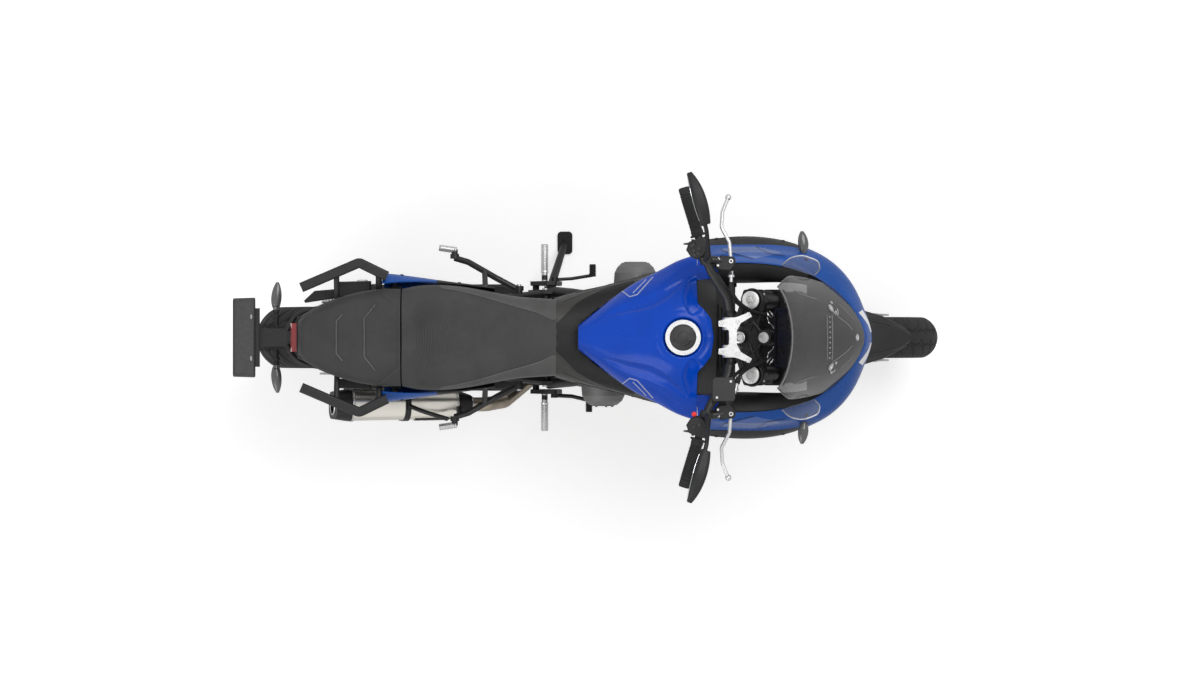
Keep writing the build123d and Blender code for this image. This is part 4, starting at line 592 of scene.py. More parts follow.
def pale_floor():
    """A wide pale floor that shows a little brighter to the camera than its light makes it."""
    data = bpy.data.meshes.new("floor")
    work = bmesh.new()
    bmesh.ops.create_grid(work, x_segments=4, y_segments=4, size=30)
    work.to_mesh(data)
    work.free()
    finish = material(
        "floor_white", (0.86, 0.86, 0.86), 0.9, tone=0.01, tone_scale=0.4, grain=60, bump=0.02, gloss=0.1,
    )
    tree = finish.node_tree
    shader = tree.nodes["Principled BSDF"]
    shader.inputs["Emission Color"].default_value = (1, 1, 1, 1)
    share = math_node(tree, "MULTIPLY", tree.nodes.new("ShaderNodeLightPath").outputs["Is Camera Ray"])
    share.inputs[1].default_value = FLOOR_GLOW
    tree.links.new(share.outputs[0], shader.inputs["Emission Strength"])
    data.materials.append(finish)
    placed("floor", data)


def near_white_world():
    """A world that is white to the camera, in reflections and through glass, and dimmer as a light."""
    world = bpy.data.worlds.new("studio")
    world.use_nodes = True
    tree = world.node_tree
    sky = tree.nodes["Background"]
    sky.inputs["Color"].default_value = (1, 1, 1, 1)
    seen = tree.nodes.new("ShaderNodeLightPath")
    strength = seen.outputs["Is Camera Ray"]
    for ray in ("Is Glossy Ray", "Is Transmission Ray"):
        either = math_node(tree, "MAXIMUM", strength)
        tree.links.new(seen.outputs[ray], either.inputs[1])
        strength = either.outputs[0]
    level = tree.nodes.new("ShaderNodeMapRange")
    level.inputs["To Min"].default_value = WORLD_LIGHT
    level.inputs["To Max"].default_value = WORLD_SEEN
    tree.links.new(strength, level.inputs["Value"])
    tree.links.new(level.outputs["Result"], sky.inputs["Strength"])
    bpy.context.scene.world = world


def studio():
    """Floor, world, two large soft lamps, and the camera straight above the machine in its own frame."""
    pale_floor()
    near_white_world()
    for name, place, size, power in LAMPS:
        lamp = bpy.data.lights.new(name, "AREA")
        lamp.shape = "DISK"
        lamp.size = size
        lamp.energy = power
        thing = placed(name, lamp)
        thing.location = place
        thing.rotation_euler = (-Vector(place)).to_track_quat("-Z", "Y").to_euler()
    camera = bpy.data.cameras.new("camera")
    camera.lens = EYE_LENS
    eye = placed("camera", camera)
    turn = PARK.to_3x3().normalized().to_4x4()
    eye.matrix_world = Matrix.Translation(PARK @ Vector((0, 0, EYE_HEIGHT))) @ turn
    bpy.context.scene.camera = eye
    bpy.context.scene.view_settings.view_transform = "Standard"


studio()


# ---------------------------------------------------------------- fuel tank
TANK = [
    (-61, [(0, 884), (14, 882), (26, 875), (33, 862), (33, 846)]),
    (-20, [(0, 907), (30, 903), (50, 890), (66, 866), (64, 842)]),
    (22, [(0, 928), (50, 922), (78, 907), (98, 878), (101, 860), (96, 839)]),
    (90, [(0, 964), (62, 957), (100, 938), (132, 906), (149, 874), (140, 839)]),
    (160, [(0, 990), (70, 984), (116, 962), (162, 920), (185, 880), (172, 839)]),
    (230, [(0, 1000), (72, 996), (128, 970), (192, 928), (219, 896), (202, 839)]),
    (272, [(0, 998), (70, 992), (136, 964), (204, 922), (229, 893), (213, 839)]),
    (318, [(0, 984), (70, 978), (136, 948), (200, 904), (214, 882), (201, 839)]),
]
VALLEY = [(18, 60), (78, 83), (135, 98), (185, 122), (240, 164)]  # middle of the sculpted valley, left side
VALLEY_HALF, VALLEY_DEPTH = 19.0, 7.0
DISH_R, DISH_DEPTH = 74.0, 3.0
POCKET_R, POCKET_DEPTH = 54.5, 11.0
BAY = [(262, 86), (256, 112), (266, 142), (290, 150)]  # stepped-down pocket at the front edge, left side
BAY_HALF, BAY_DEPTH = 21.0, 7.0
TANK_LINES = (([(62, 131), (83, 114), (104, 120), (149, 170)], 3.0), ([(92, 124), (130, 163)], 2.4))


def tank_front(y):
    """Where the tank's front edge runs, by distance from its centre plane."""
    return float(np.interp(abs(y), [0, 52, 100, 172, 260], [316, 308, 272, 270, 274]))


def tank_depth(x, y):
    """The valleys, the filler's dish and its pocket, and the front bays."""
    side = np.abs(y)
    off, along = line_distance(x, side, VALLEY)
    half = VALLEY_HALF * np.sin(pi * np.clip(along * 0.94 + 0.03, 0, 1)) ** 0.8 + 0.5
    ends = np.sin(pi * np.clip(along, 0.02, 0.98)) ** 0.5
    out = -VALLEY_DEPTH * np.clip(1 - (off / half) ** 2, 0, 1) * ends
    far = np.hypot(x - CAP[0], y)
    out -= DISH_DEPTH * (1 - step(far, DISH_R, 2.2))
    out -= POCKET_DEPTH * (1 - step(far, POCKET_R, 0.7))
    off, _ = line_distance(x, side, BAY)
    return out - BAY_DEPTH * (1 - step(off, BAY_HALF, 1.8))


def fuel_tank():
    """Painted tank with its valleys, on the space of the plain one, and generic pale lines on its sides."""
    grid = pushed(sculpt(TANK, 190, 115, tank_front), tank_depth)
    thing = piece("painted_tank", [closed_grid(grid)], "tank_blue", angle=50)
    weld(thing)
    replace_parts(thing, "fuel_tank")
    drop = caster(thing)
    for side, name in SIDES:
        lines = [
            stripe(drop, sided(line, side), width, samples=70, smooth=False) for line, width in TANK_LINES
        ]
        piece(f"tank_stripes_{name}", lines, "outline")


def filler():
    """Boss and hinge flap of the filler's lid, and near-black arcs on it as painted shade in its grooves."""
    parts = [turned(CAP, UP, [(-1, 34), (1.2, 34), (2.2, 32), (2.2, 0)], 64)]
    parts += [turned(CAP + (0, 0, 2.0), UP, [(0, 17), (2.4, 17), (3.2, 15.5), (3.2, 0)], 6)]
    parts += [flat([(228, -11), (262, -9), (265, 0), (262, 9), (228, 11)], CAP[2] + 2, 2.6)]
    piece("filler_lid", parts, "dark_grey")
    # painted shade: near-black arcs laid where the lid's grooves lie
    arcs = [ring_of(CAP + (-2, 0, 2.2), UP, 24, 1.5, 24, 1.35, start) for start in (1.75, pi + 0.2)]
    piece("filler_groove_shade", arcs, "display")


fuel_tank()
filler()


# ---------------------------------------------------------------- seats
RIDER = [
    (-124, [(0, 848), (46, 847), (60, 843), (88, 826), (104, 806), (108, 780), (102, 764)]),
    (-175, [(0, 838), (54, 838), (68, 835), (92, 822), (108, 806), (112, 786), (104, 765)]),
    (-248, [(0, 835), (74, 836), (90, 833), (106, 824), (116, 808), (119, 790), (110, 769)]),
    (-330, [(0, 836), (100, 837), (114, 833), (124, 824), (131, 810), (133, 794), (121, 776)]),
    (-410, [(0, 843), (118, 845), (132, 840), (140, 828), (145, 812), (145, 798), (130, 784)]),
    (-465, [(0, 862), (116, 864), (134, 858), (144, 846), (149, 826), (147, 808), (131, 792)]),
    (-520, [(0, 894), (108, 893), (130, 885), (142, 868), (146, 846), (142, 822), (129, 802)]),
    (-556, [(0, 908), (102, 906), (124, 898), (136, 880), (138, 856), (134, 832), (126, 806)]),
]
PILLION = [
    (-560, [(0, 913), (84, 911), (104, 907), (124, 897), (134, 886), (136, 877)]),
    (-600, [(0, 922), (92, 920), (112, 914), (128, 903), (136, 890), (136, 877)]),
    (-650, [(0, 928), (94, 925), (112, 920), (126, 908), (132, 894), (131, 878)]),
    (-740, [(0, 930), (72, 928), (88, 924), (102, 913), (109, 900), (110, 882)]),
    (-808, [(0, 929), (46, 928), (58, 925), (70, 914), (78, 900), (79, 886)]),
    (-838, [(0, 922), (30, 921), (40, 918), (50, 909), (56, 899), (56, 889)]),
    (-846, [(0, 914), (22, 913), (32, 910), (40, 903), (46, 896), (48, 890)]),
]
SEAM = [(-132, 50), (-165, 66), (-248, 91), (-336, 117), (-407, 134), (-446, 140)]
SKIRT_REAR = -452.0  # the pale skirt of the rider's pad ends here
RIBS_FROM, RIBS_TO, RIB_PITCH = 418.0, 520.0, 7.2  # distances behind the bike's centre
ARCHES = [
    [(-737, 0), (-737, 45), (-720, 65)],
    [(-659, 0), (-659, 54), (-629, 92)],
]
PILLION_EDGE = [(-566, 0), (-566, 84), (-600, 112), (-622, 130)]


def furrow(off, half):
    """A rounded line, 1 in its middle, by distance from it."""
    return np.exp(-((off / half) ** 2))


def rider_depth(x, y):
    """Seam between top and skirts, fine ribs on the rise to the pillion, and the foam's own softness."""
    side = np.abs(y)
    off, _ = line_distance(x, side, SEAM)
    curve = x + 0.0016 * side**2
    ribbed = step(-curve, RIBS_FROM, 6) * (1 - step(-curve, RIBS_TO, 6)) * (1 - step(side, 118, 5))
    soft = 0.9 * np.sin(x / 47) * np.cos(y / 39)
    return soft - 1.8 * furrow(off, 2.2) + 0.55 * ribbed * np.sin(2 * pi * curve / RIB_PITCH)


def pillion_depth(x, y):
    """Two pressed arches across the pad, its edge seam, and the foam's own softness."""
    side = np.abs(y)
    out = 0.7 * np.sin(x / 41) * np.cos(y / 37)
    for arch in ARCHES:
        off, _ = line_distance(x, side, arch)
        out += 1.3 * furrow(off, 1.5) - 1.3 * furrow(off - 4, 2.2)
    off, _ = line_distance(x, side, PILLION_EDGE)
    return out - 1.6 * furrow(off, 2.4)


def pad(name, sections, rows, depth, finish, node):
    """One pad of stretched vinyl over foam, on the space of the plain one."""
    grid = pushed(sculpt(sections, rows, 75), depth)
    thing = piece(name, [closed_grid(grid)], finish, angle=55)
    weld(thing)
    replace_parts(thing, node)
    return thing


def on_skirt(p, n):
    """Whether a spot of the rider's pad lies outside its seam."""
    seam_y = np.interp(-p.x, [-x for x, _ in SEAM], [y for _, y in SEAM])
    return SKIRT_REAR < p.x and abs(p.y) > seam_y + 1.2


def seats():
    """Both pads with their seams and pressed lines."""
    rider = pad("rider_pad", RIDER, 230, rider_depth, "seat_top", "rider_seat")
    repaint(rider, "seat_side", on_skirt)
    drop = caster(rider)
    seams = [stripe(drop, sided(SEAM, side), 1.8, 0.7, 90) for side, _ in SIDES]
    piece("rider_seams", seams, "stitch")
    drop = caster(pad("pillion_pad", PILLION, 170, pillion_depth, "seat_rear", "pillion_seat"))
    lines = [stripe(drop, flip(arch)[::-1] + arch[1:], 1.6, 0.5, 90, smooth=False) for arch in ARCHES]
    piece("pillion_arches", lines, "stitch")


CRESCENT = (
    [(-65, 0), (-65, 37), (-22, 70), (22, 106), (60, 130), (96, 154)],
    [(-131, 0), (-126, 37), (-66, 96), (-8, 128), (42, 148), (96, 160)],
)


def crescent():
    """Black trim between the rider's pad and the tank, wrapped over the cover on both sides."""
    drop = caster("tank_covers")
    for side, name in SIDES:
        edges = [sided(edge, side) for edge in CRESCENT]
        piece(f"tank_crescent_{name}", [patch(drop, *edges, lift=0.8)], "trim_black")
        seam = stripe(drop, [(x, side * (y + 1)) for x, y in CRESCENT[1]], 1.6, 1.0, 90)
        piece(f"crescent_seam_{name}", [seam], "grey_plastic")


seats()
crescent()


# ---------------------------------------------------------------- tyres
BEAD_R, HEEL_R = 216.0, 230.0
CARCASS = 10.0  # thickness under the tread
TREAD_ROWS, TREAD_TURNS = 79, 600


def tread_depth(share, turn, pitches):
    """How deep the tread is cut, from 0 to 1, by distance across (-1 to 1) and turn round the wheel."""
    side = np.abs(share)
    sweep = turn * pitches / (2 * pi) + np.sign(share) * 0.25
    slant = (sweep + 1.15 * side**1.2) % 1.0
    groove = 1 - step(np.abs(slant - 0.5), 0.085, 0.018)
    groove *= step(side, 0.1, 0.02) * (1 - step(side, 0.9, 0.02))
    shoulder = (sweep * 2 + 0.6 * side) % 1.0
    sipe = 1 - step(np.abs(shoulder - 0.5), 0.1, 0.02)
    sipe *= step(side, 0.66, 0.02) * (1 - step(side, 1.0, 0.01))
    wander = 0.3 + 0.045 * np.sin(turn * pitches * 2)
    ring = 1 - step(np.abs(side - wander), 0.035, 0.01)
    return np.clip(np.maximum.reduce([groove, 0.7 * sipe, ring]), 0, 1)


def tyre_wall(half, edge, bead_half):
    """The side wall from the tread's edge to the bead, as (y, radius) along a curve of four handles."""
    handles = np.array(((half - 4, edge), (half + 4, edge - 14), (half + 3, HEEL_R + 8), (bead_half, HEEL_R)))
    t = np.linspace(0, 1, 11)[1:, None]
    weights = np.hstack([(1 - t) ** 3, 3 * t * (1 - t) ** 2, 3 * t * t * (1 - t), t**3])
    return [tuple(point) for point in weights @ handles]


def tyre(body, centre, radius, width, crown, bead_half, pitches, depth):
    """Tyre with a cut tread on the plain carcass's form."""
    half = width / 2
    edge = radius - crown + sqrt(crown**2 - (half - 4) ** 2)
    reach = atan2(half - 4, edge - radius + crown)
    across_tread = np.linspace(-1, 1, TREAD_ROWS)
    tread = [(crown * sin(reach * s), radius - crown + crown * cos(reach * s)) for s in across_tread]
    wall = tyre_wall(half, edge, bead_half)
    inner = [(bead_half, BEAD_R), (bead_half - 10, BEAD_R), (half - 16, edge - 9), (0, radius - CARCASS)]
    inner += [(-y, r) for y, r in inner[-2::-1]]
    profile = np.array([*tread, *wall, *inner, *[(-y, r) for y, r in wall[::-1]]])
    shares = [*across_tread, *[2.0] * (len(profile) - TREAD_ROWS)]
    turns = np.arange(TREAD_TURNS) * 2 * pi / TREAD_TURNS
    share, turn = np.meshgrid(shares, turns, indexing="ij")
    cut = np.where(np.abs(share) <= 1, tread_depth(share, turn, pitches), 0) * depth
    r = profile[:, 1:] - cut
    ys = np.repeat(profile[:, :1], TREAD_TURNS, 1)
    grid = np.stack([centre[0] + r * np.cos(turn), ys, centre[2] + r * np.sin(turn)], axis=2)
    mesh = (grid, grid_faces(len(profile), TREAD_TURNS, wrap_rows=True, wrap_cols=True))
    thing = piece(f"{body}_tread", [mesh], "rubber", f"{body}_wheel", angle=48)
    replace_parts(thing, f"{body}_tyre")


tyre("front", FRONT_AXLE, 299.9, 120.0, 64.0, 37.5, 34, 4.5)
tyre("rear", REAR_AXLE, 315.0, 180.0, 96.0, 63.0, 32, 5.0)


# ---------------------------------------------------------------- tank surround and cockpit
SHOULDER = (
    [(268, 160, 937), (271, 190, 926), (273, 212, 910), (273, 228, 894), (262, 238, 868)],
    [(292, 161, 917), (296, 190, 913), (298, 208, 906), (296, 222, 892), (284, 240, 862)],
    [(334, 164, 884), (327, 194, 897), (320, 206, 901), (310, 216, 896), (300, 232, 872)],
)
LID_HALVES = ((316, 158), (330, 156), (344, 148), (358, 128))
LID_RIBS = ((324, 96), (334, 92), (344, 84), (353, 70))
LID_Z, LINER_RISE = 850.0, 34.0
LINER = ((582, 188, 858), (620, 170, 850), (660, 146, 846), (700, 102, 846), (728, 58, 852), (738, 28, 858))


def tank_surround():
    """Blue shoulders between tank and fairing, the ribbed lid ahead of the tank, and the cockpit's liner."""
    for side, name in SIDES:
        lines = [sided(line, side) for line in SHOULDER]
        piece(f"tank_shoulder_{name}", [skin(lines, 18, 22, 2.5)], "tank_blue")
    lid = [[(x, y, LID_Z - 0.02 * abs(y)) for y in np.linspace(-half, half, 15)] for x, half in LID_HALVES]
    ribs = [tube([(x, -half, LID_Z + 0.5), (x, half, LID_Z + 0.5)], 1.6, 8) for x, half in LID_RIBS]
    piece("front_lid", [skin(lid, 8, 15, 4), *ribs], "plastic")
    liner = [
        [(x, y, low + LINER_RISE * (y / half) ** 2) for y in np.linspace(-half, half, 13)]
        for x, half, low in LINER
    ]
    piece("cockpit_liner", [skin(liner, 30, 31, 3)], "plastic")


tank_surround()


# ---------------------------------------------------------------- front mudguard
GUARD_TURN = (-75.0, 38.0)  # degrees back and forward of the wheel's top
GUARD_R, GUARD_CROWN = 321.0, 4.5
GUARD_HALF = [-75, -8, 9, 24, 32, 36, 38], [70, 74, 84, 60, 38, 28, 12]
GUARD_DEEP = [-75, -40, 0, 12, 26, 38], [60, 74, 72, 40, 16, 3]
GUARD_RAISED = [-75, 0, 12, 33, 38], [40, 46, 50, 22, 10]


def front_mudguard():
    """Mudguard drawn in to a narrow beak, with a raised middle and flared sides."""
    turns = np.linspace(*GUARD_TURN, 110)
    shares = np.linspace(-1, 1, 61)
    grid = np.zeros((len(turns), len(shares), 3))
    for row, angle in enumerate(turns):
        half, deep, raised = (np.interp(angle, *bend) for bend in (GUARD_HALF, GUARD_DEEP, GUARD_RAISED))
        turn = radians(angle)
        y = half * shares
        fall = deep * np.clip((np.abs(shares) - 0.6) / 0.4, 0, 1) ** 1.6 + 3 * shares**2
        r = GUARD_R - GUARD_CROWN + GUARD_CROWN / (1 + np.exp((np.abs(y) - raised) / 1.2)) - fall
        grid[row] = np.stack([FRONT_AXLE[0] + r * sin(turn), y, FRONT_AXLE[2] + r * cos(turn)], axis=1)
    parts = [thickened(grid, 3.0)]
    for side in (-1, 1):
        for z in (258, 284):
            parts.append(tube([steer(FORK_OFFSET, side * 68, z), steer(FORK_OFFSET, side * 80.5, z)], 9, 20))
    guard = piece("mudguard", parts, "plastic", "fork", angle=24)
    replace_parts(guard, "front_mudguard")
    drop = caster(guard)

    def ridges(side):
        middle = sided([(784, 50), (840, 38), (892, 21)], side)
        flank = sided([(770, 76), (812, 62), (868, 38)], side)
        return [stripe(drop, middle, 2.6, 1.0), stripe(drop, flank, 2.0, 0.8, taper=True)]

    piece("mudguard_ridges", both(ridges), "dark_grey", "fork")


front_mudguard()


# ---------------------------------------------------------------- handlebar and controls
BAR = [
    (362, 0, 1030), (362, 62, 1030), (352, 112, 1046), (300, 190, 1074), (282, 238, 1080), (234, 397, 1074),
]
BAR_WAY = np.array(BAR[-1], float) - BAR[-2]
BAR_WAY /= np.linalg.norm(BAR_WAY)
BAR_SAMPLES, BEND_BLUR = 420, 17
BAR_SWELL = [0, 68, 80, 165, 200, 400], [11, 11, 14.3, 14.0, 11, 11]  # radius by distance from the middle
GRIP_REACH = 124.0
GRIP_RIDGE = ((0, 16.6), (2.4, 16.6), (2.8, 15.2), (3.6, 15.2))
POD = [(236, 240), (244, 262), (262, 269), (286, 264), (293, 238), (284, 222), (264, 213), (248, 222)]
PERCH = [(316, 192), (330, 184), (362, 184), (371, 196), (370, 220), (334, 227), (316, 212)]
RESERVOIR = [
    (311, -174), (366, -174), (370, -166), (370, -116), (364, -109), (314, -109), (308, -116), (308, -166),
]


def ribbed(count, pitch, ridge, start=0.0, scale=1.0):
    """A profile's stretch of repeated ridges: ridge is a list of (distance, radius)."""
    return [(start + k * pitch + along, radius * scale) for k in range(count) for along, radius in ridge]


def handlebar():
    """Tapered bar, thick between its clamp and the perches."""
    line = resample(flip(BAR[:0:-1]) + BAR, BAR_SAMPLES, smooth=False)
    blur, rim = np.ones(BEND_BLUR) / BEND_BLUR, BEND_BLUR // 2
    for axis in range(3):
        line[rim:-rim, axis] = np.convolve(line[:, axis], blur, "valid")
    radii = np.interp(np.abs(line[:, 1]), *BAR_SWELL)
    bar = tube(line, 1.0, 24, swell=lambda share: radii[int(round(share * (BAR_SAMPLES - 1)))])
    thing = piece("tapered_bar", [bar], "satin_metal", "fork")
    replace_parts(thing, "handlebar")


def grips():
    """Ribbed rubber grips with a flange inboard and a weight outboard."""
    flange = [(0, 11.2), (0, 21), (2, 22.4), (5, 21), (6, 17.2), (14, 17.2)]
    sleeve = [*flange, *ribbed(24, 4.0, GRIP_RIDGE, 16), (117, 17.2), (118, 11.2)]
    weight = [(118.4, 11), (118.4, 15.5), (136, 15.5), (139.5, 13), (140, 0)]

    def one(side):
        end, way = mirror(BAR[-1], side), mirror(BAR_WAY, side)
        return [turned(end - way * GRIP_REACH, way, profile, 36) for profile in (sleeve, weight)]

    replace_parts(piece("grip_sleeves", both(one), "grip", "fork"), "grips")


def hexagon(x, y, radius, height):
    """A small raised hexagonal button on a switch pod, facing up."""
    profile = [(-3, radius), (height * 0.7, radius), (height, radius * 0.8), (height, 0)]
    return turned((x, y, 1101), UP, profile, 6)


def controls():
    """Switch housings and buttons, perch bodies, the reservoir's lid, and the levers' screws."""
    shells = both(lambda side: [flat(sided(POD, side), 1086, 15, 4), flat(sided(PERCH, side), 1056, 20, 4)])
    piece("control_bodies", shells, "plastic", "fork")
    keys = [hexagon(x, y, 5.2, 3) for x, y in ((256, 238), (268, 231), (258, 226), (270, 243))]
    keys.append(flat([(244, 249), (252, 246), (262, 254), (256, 260)], 1100, 5))
    piece("left_buttons", keys, "grey_plastic", "fork")
    rocker = turned((258, -210, 1098), UP, [(-6, 7), (5, 7), (7.5, 5.5), (8, 0)], 20)
    piece("kill_switch", [rocker], "red", "fork")
    starter = [hexagon(272, -240, 5.5, 3), hexagon(256, -246, 4.5, 3)]
    piece("right_buttons", starter, "grey_plastic", "fork")
    piece("reservoir_lid", [flat(RESERVOIR, 1106, 6, 2)], "dark_grey", "fork")
    screws = [bolt((x, y, 1112), UP, 3.6) for x, y in ((320, -164), (358, -120))]
    screws += [bolt((360, side * 210, 1073), UP, 6.5) for side, _ in SIDES]
    screws += [bolt((x, side * y, 1076), UP, 3.4) for side, _ in SIDES for x, y in ((324, 198), (326, 216))]
    adjuster = [(0, 6), (10, 6), (11, 9), (17, 9), (18, 5), (30, 5), (31, 3.4)]
    banjo = [(0, 8.5), (7, 8.5), (8, 5.5), (20, 5.5), (21, 4)]
    banjo_bolt = [(0, 7), (14, 7), (15, 9), (22, 9), (23, 6)]
    fittings = [
        turned((361, 183, 1063), (0, -1, 0), adjuster, 20),
        turned((372, -146, 1070), (0.25, 1, -0.1), banjo, 20),
        turned((352, -146, 1068), (1, 0, 0), banjo_bolt, 6),
    ]
    piece("control_metal", [*screws, *fittings], "silver", "fork")


YOKE_TOP, LOCK_X = 710.0, 73.0  # in the steering frame
BRIDGE_BOLTS = ((335, 40), (379, 44), (407, 64))
YOKE_WEBS = (((-14, 22), (22, 80)), ((26, 18), (48, 76)), ((34, 46), (62, 12)), ((-8, 44), (10, 88)))
FORK_CAP = [(-0.5, 25.5), (3, 25), (4.5, 22), (4.5, 11), (1.5, 10.5), (1.5, 0)]
GUIDE = [(466, 56, 940), (470, 44, 944), (482, 30, 940), (496, 18, 928)]


def bridge():
    """Screws and pads of the bar's bright bridge, and the nut, lock, caps and guides on the top yoke."""
    heads = [bolt((x, side * y, 1057), UP, 5.5) for side, _ in SIDES for x, y in BRIDGE_BOLTS]
    stem_nut = [(0, 17), (5, 17), (6, 15.5), (6, 10.5), (-6, 10)]
    heads.append(turned(steer(0, 0, YOKE_TOP + 10), STEER_Z, stem_nut, 36))
    lock_ring = [(0, 15.5), (2.5, 15), (2.5, 11.5), (-3, 11)]
    heads.append(turned(steer(LOCK_X, 0, YOKE_TOP + 14), STEER_Z, lock_ring, 36))
    heads.append(turned(steer(LOCK_X, 0, YOKE_TOP + 8), STEER_Z, [(0, 8), (5, 7.5), (5.5, 0)], 24))
    caps, webs, wires = [], [], []
    for side, _ in SIDES:
        cap = steer(FORK_OFFSET, side * FORK_Y, YOKE_TOP + 12)
        caps.append(turned(cap, STEER_Z, FORK_CAP, 40))
        caps.append(turned(cap, STEER_Z, [(1, 8.5), (7, 8.5), (8, 7), (8, 0)], 6))
        heads += [bolt(steer(FORK_OFFSET + 29, side * y, YOKE_TOP - 12), STEER_X, 4.5) for y in (88, 120)]
        webs += [tube([steer(x, side * y, YOKE_TOP + 1) for x, y in line], 4.5, 10) for line in YOKE_WEBS]
        webs.append(ring_of(steer(FORK_OFFSET, side * FORK_Y, YOKE_TOP + 1), STEER_Z, 30, 3.6, 60))
        pad_foot = [(0, 12), (26, 12), (29, 9), (29, 0)]
        webs.append(turned((390, side * 40, 1018), (0.7, side * 0.35, 0.45), pad_foot, 20))
        wires.append(ring_of((474, side * 65, 944), (0.7, side * 0.5, 0.5), 11, 1.9, 36, 1.75 * pi, 0.6))
        wires.append(tube(sided(GUIDE, side), 1.9, 8, 24))
    lock = [(0, 24), (30, 22), (34, 20), (34, 16), (30, 15)]
    webs.append(turned(steer(LOCK_X, 0, YOKE_TOP - 20), STEER_Z, lock, 40))
    piece("bridge_metal", heads, "silver", "fork")
    piece("fork_caps", caps, "cap_silver", "fork")
    piece("yoke_webs", webs, "satin_metal", "fork", angle=40)
    piece("cable_guides", wires, "chrome", "fork")


CABLES = {
    "clutch_cable": (4.0, [
        (361, 152, 1063), (362, 132, 1061), (374, 110, 1042), (404, 84, 1000), (442, 68, 966), (470, 64, 938),
        (488, 58, 884),
    ]),
    "left_harness": (5.0, [
        (288, 236, 1060), (296, 202, 1056), (322, 162, 1040), (352, 124, 1012), (386, 92, 984),
        (424, 66, 968), (452, 48, 940),
    ]),
    "brake_hose": (4.5, [
        (377, -126, 1068), (382, -110, 1062), (398, -94, 1034), (430, -76, 990), (458, -64, 958),
        (478, -60, 900),
    ]),
    "right_harness": (5.0, [
        (288, -236, 1060), (300, -198, 1054), (326, -158, 1036), (356, -122, 1008), (392, -90, 984),
        (428, -66, 966), (452, -46, 940),
    ]),
}


def cables():
    """Control cables and harnesses from the bar to behind the headstock, each held at both ends."""
    for name, (radius, line) in CABLES.items():
        piece(name, [tube(line, radius, 12, 70)], "grip", "fork")
    boots = [tube(line[:2], radius * 1.7, 12) for radius, line in CABLES.values()]
    piece("cable_boots", boots, "rubber", "fork")


handlebar()
grips()
controls()
bridge()
cables()


# ---------------------------------------------------------------- screen, deflectors and fairing trim
SCREEN_TOP = [(513, 0), (507, 58), (492, 108), (476, 137)]
SCREEN_SIDE = [(476, 137, 1312), (504, 162, 1240), (542, 167, 1120), (600, 158, 1000), (656, 137, 906)]
SCREEN_LINES = (  # plan line, width, lift, tapered
    ([(637, 68), (664, 52), (690, 33), (700, 22)], 2.2, 0.7, False),
    ([(664, 92), (690, 66), (708, 50)], 1.2, 0.5, False),
    ([(520, 128), (548, 116), (600, 104)], 1.6, 0.5, True),
)
SLOT_X, SLOT_HALF = 629.0, 56.0
DEFLECTOR = [(3, 2), (18, 55), (27, 70), (50, 89), (66, 89), (90, 82), (97, 68), (104, 40), (99, 3)]
DEFLECTOR_FOOT = np.array((508, 204, 905.5))
DEFLECTOR_ALONG, DEFLECTOR_UP = np.array((0.956, -0.294, 0.0)), np.array((0.1288, 0.4187, 0.8988))


def screen_trim():
    """The screen's rims, its slot, brackets and moulded lines; rims, slot and moulded lines are drawn in a
    paler copy of the screen's tint, a painted highlight along its edges.
    """
    top = flip(SCREEN_TOP[:0:-1]) + SCREEN_TOP
    rims = [tube([(x + 1, y, 1310) for x, y in top], 2.4, 10, 60)]
    inset = [(x - 2, y - 2, z - 2) for x, y, z in SCREEN_SIDE]
    rims += [tube(sided(inset, side), 2.0, 10, 60) for side, _ in SIDES]
    # painted highlight: the rims in a paler copy of the screen's tint
    piece("screen_rims", rims, "screen_edge_highlight")
    drop = caster("windscreen")
    lines = [
        stripe(drop, sided(line, side), width, lift, taper=taper)
        for side, _ in SIDES for line, width, lift, taper in SCREEN_LINES
    ]
    for x, width in ((621, 1.8), (637, 2.6)):
        lines.append(stripe(drop, [(x, -62), (x, 62)], width, 0.8, smooth=False))
    # painted highlight: the moulded lines and the slot's edges in the same paler tint
    piece("screen_lines", lines, "screen_edge_highlight")
    metal = []
    for side, _ in SIDES:
        metal.append(turned(*drop(634, side * 80), [(0, 12), (2.5, 12), (4, 9), (4, 4.5), (2.5, 4)], 7))
        metal += [bolt(*drop(x, side * y), 4.6, 2.5) for x, y in ((638, 96), (650, 70))]
        spot, normal = drop(645, side * 80)
        metal.append(ring_of(spot + normal * 1.2, normal, 19, 1.3, 24, pi * 0.8, -0.4 * pi))
    rivet = [(0, 2.4), (1.6, 2.2), (1.8, 0)]
    metal += [turned(*drop(SLOT_X, y), rivet, 10) for y in np.linspace(-SLOT_HALF, SLOT_HALF, 9)]
    piece("screen_fixings", metal, "aluminium")


def deflector_trim():
    """Tubes round the side deflectors' edges, near-white as a painted highlight on the clear plates' edges.
    """
    line = [DEFLECTOR_FOOT + DEFLECTOR_ALONG * u + DEFLECTOR_UP * v for u, v in DEFLECTOR]
    edges = [tube(sided(line, side), 1.8, 8, 70) for side, _ in SIDES]
    piece("deflector_edges", edges, "clear_edge_highlight")


NOSE_STRIP = ([(726, 70), (742, 52), (755, 33), (762, 14)], [(739, 78), (751, 59), (761, 36), (766, 16)])
# edges of the pale-blue patches of painted highlight on the fairing's painted bands
BAND_HIGHLIGHT = (
    [(338, 246), (400, 231), (436, 222), (506, 236)],
    [(344, 250), (374, 256), (440, 257), (506, 240)],
)
BAND_LINES = ([(340, 250), (352, 241), (430, 220)], [(440, 257), (470, 236), (520, 228)])
SCREW_SPOTS = (
    ("side_fairings", ((560, 740), (430, 740), (500, 650), (300, 868), (580, 880))),
    ("fairing_trims", ((330, 800), (520, 798))),
    ("tail_cowls", ((-560, 826), (-400, 778))),
)


